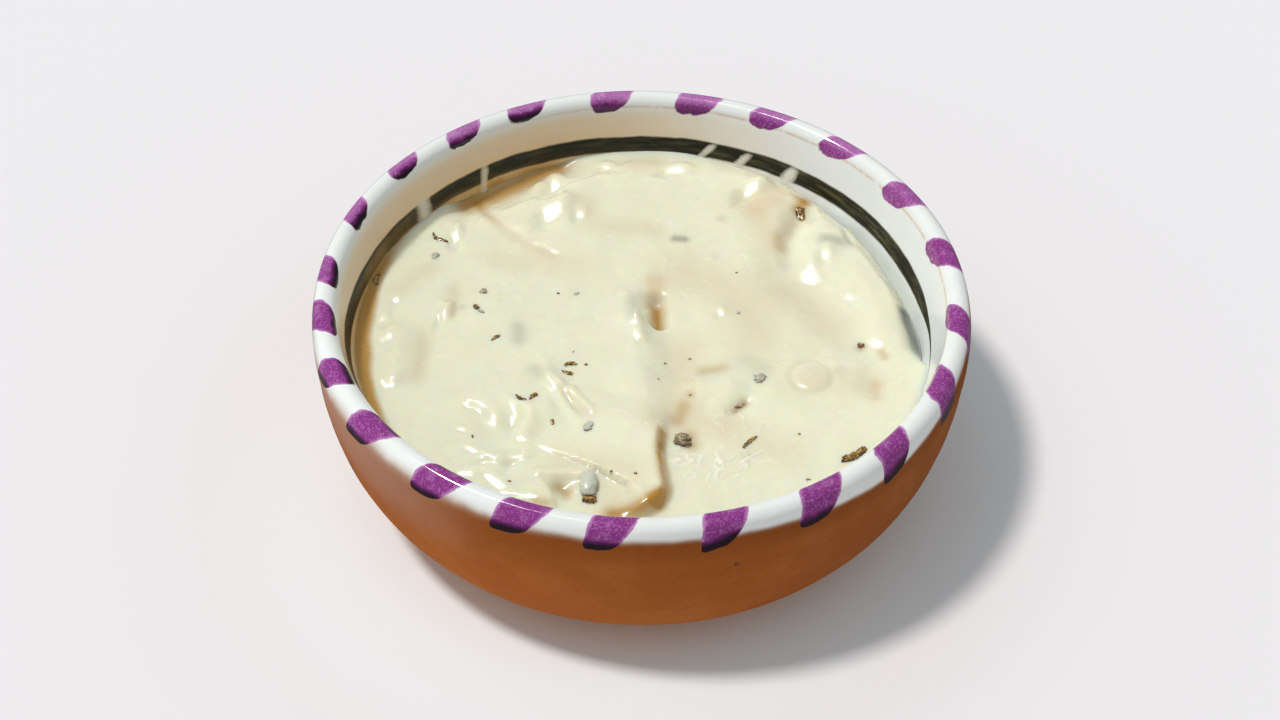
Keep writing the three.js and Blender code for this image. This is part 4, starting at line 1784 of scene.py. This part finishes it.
@dataclass
class Studio:
    """The floor, the light and the camera."""

    crest: float                 # height of the lip's crest
    floor_size: float = 6000.0
    object_lights: tuple[Sun, ...] = (
        Sun("key", 154.0, 64.0, 1.72, 5.0),
        Sun("key_top", 145.0, 72.0, 0.26, 6.0),
        Sun("key_tail", 129.0, 78.0, 0.08, 7.0),
        Sun("fill", 300.0, 30.0, 0.16, 60.0, False),
        Sun("side", 198.0, 10.0, 0.85, 50.0, False),
        Sun("bounce", 195.0, -62.0, 1.5, 50.0, False, (1.0, 0.90, 0.78)),
    )
    floor_lights: tuple[Sun, ...] = (
        Sun("floor_key", 192.0, 67.0, 2.10, 8.0, False, (1.0, 0.835, 0.79)),
        Sun("floor_fill", 192.0, 88.0, 0.35, 90.0, False, (0.80, 1.0, 1.06), shades=False),
    )
    sky: Colour = (1.0, 0.995, 0.99)
    sky_strength: float = 0.40
    sky_gloss: float = 0.14      # how bright the sky is in reflections
    picture_width: float = 1280.0
    focal_pixels: float = 2500.0
    sensor: float = 36.0
    elevation: float = 43.8
    roll: float = 0.87
    aim_x: float = -0.2
    aim_y: float = -18.4
    aim_drop: float = 2.25       # the aimed-at point's depth below the crest
    distance: float = 483.8

    def floor(self) -> bpy.types.Object:
        """Lays the floor, which isn't part of the object.

        Returns:
            The floor.
        """
        corners = np.array([[-1, -1, 0], [1, -1, 0], [1, 1, 0], [-1, 1, 0]])
        form = Form()
        form.sheet(corners * self.floor_size / 2)
        floor = form.build("floor")
        floor.data.materials.append(PaleFloor().material())
        floor.visible_glossy = False
        return floor

    def light(self, floor: bpy.types.Object) -> None:
        """Hangs the lights, some for the object and some for the floor alone, and a pale sky.

        Args:
            floor: The floor.
        """
        for lights, state in ((self.object_lights, "EXCLUDE"), (self.floor_lights, "INCLUDE")):
            takes = bpy.data.collections.new("floor_" + state.lower())
            takes.objects.link(floor)
            takes.collection_objects[0].light_linking.link_state = state
            for sun in lights:
                linking = sun.hang().light_linking
                linking.receiver_collection = takes
                if state == "EXCLUDE":
                    linking.blocker_collection = takes
        world = Board(bpy.data.worlds.new("studio"))
        glossy = world.node("ShaderNodeLightPath").output("Is Glossy Ray")
        levels = {"Value": glossy, "To Min": self.sky_strength, "To Max": self.sky_gloss}
        strength = world.node("ShaderNodeMapRange", None, levels)
        backdrop = world.node("ShaderNodeBackground", None, {"Color": self.sky, "Strength": strength})
        bpy.context.scene.world = world.close(backdrop, "ShaderNodeOutputWorld")
        bpy.context.scene.view_settings.view_transform = "Standard"

    def camera(self) -> None:
        """Sets the camera at the photograph's viewing angle."""
        elevation, roll = math.radians(self.elevation), math.radians(self.roll)
        back = Vector((0.0, -math.cos(elevation), math.sin(elevation)))
        right, up = Vector((1.0, 0.0, 0.0)), Vector((0.0, math.sin(elevation), math.cos(elevation)))
        across = right * math.cos(roll) + up * math.sin(roll)
        above = up * math.cos(roll) - right * math.sin(roll)
        aim = Vector((self.aim_x, self.aim_y, self.crest - self.aim_drop)) * MM
        lens = bpy.data.cameras.new("view")
        lens.sensor_width = self.sensor
        lens.lens = self.sensor * self.focal_pixels / self.picture_width
        lens.clip_start, lens.clip_end = 0.01, 20.0
        camera = show(bpy.data.objects.new("view", lens))
        turn = Matrix((across, above, back)).transposed().to_4x4()
        camera.matrix_world = Matrix.Translation(aim + back * self.distance * MM) @ turn
        bpy.context.scene.camera = camera


def main() -> None:
    """Builds every piece in order and reports it."""
    logging.basicConfig(level=logging.INFO, format="%(name)s: %(message)s")
    bowl = Bowl()
    bowl.dress(bowl.mesh())
    sauce = Sauce(bowl)
    sauce.dress(sauce.mesh())
    herbs = Herbs(sauce)
    for kind in HerbKind:
        herbs.dress(herbs.mesh(kind))
    studio = Studio(bowl.height)
    studio.light(studio.floor())
    studio.camera()


if __name__ == "__main__":
    main()
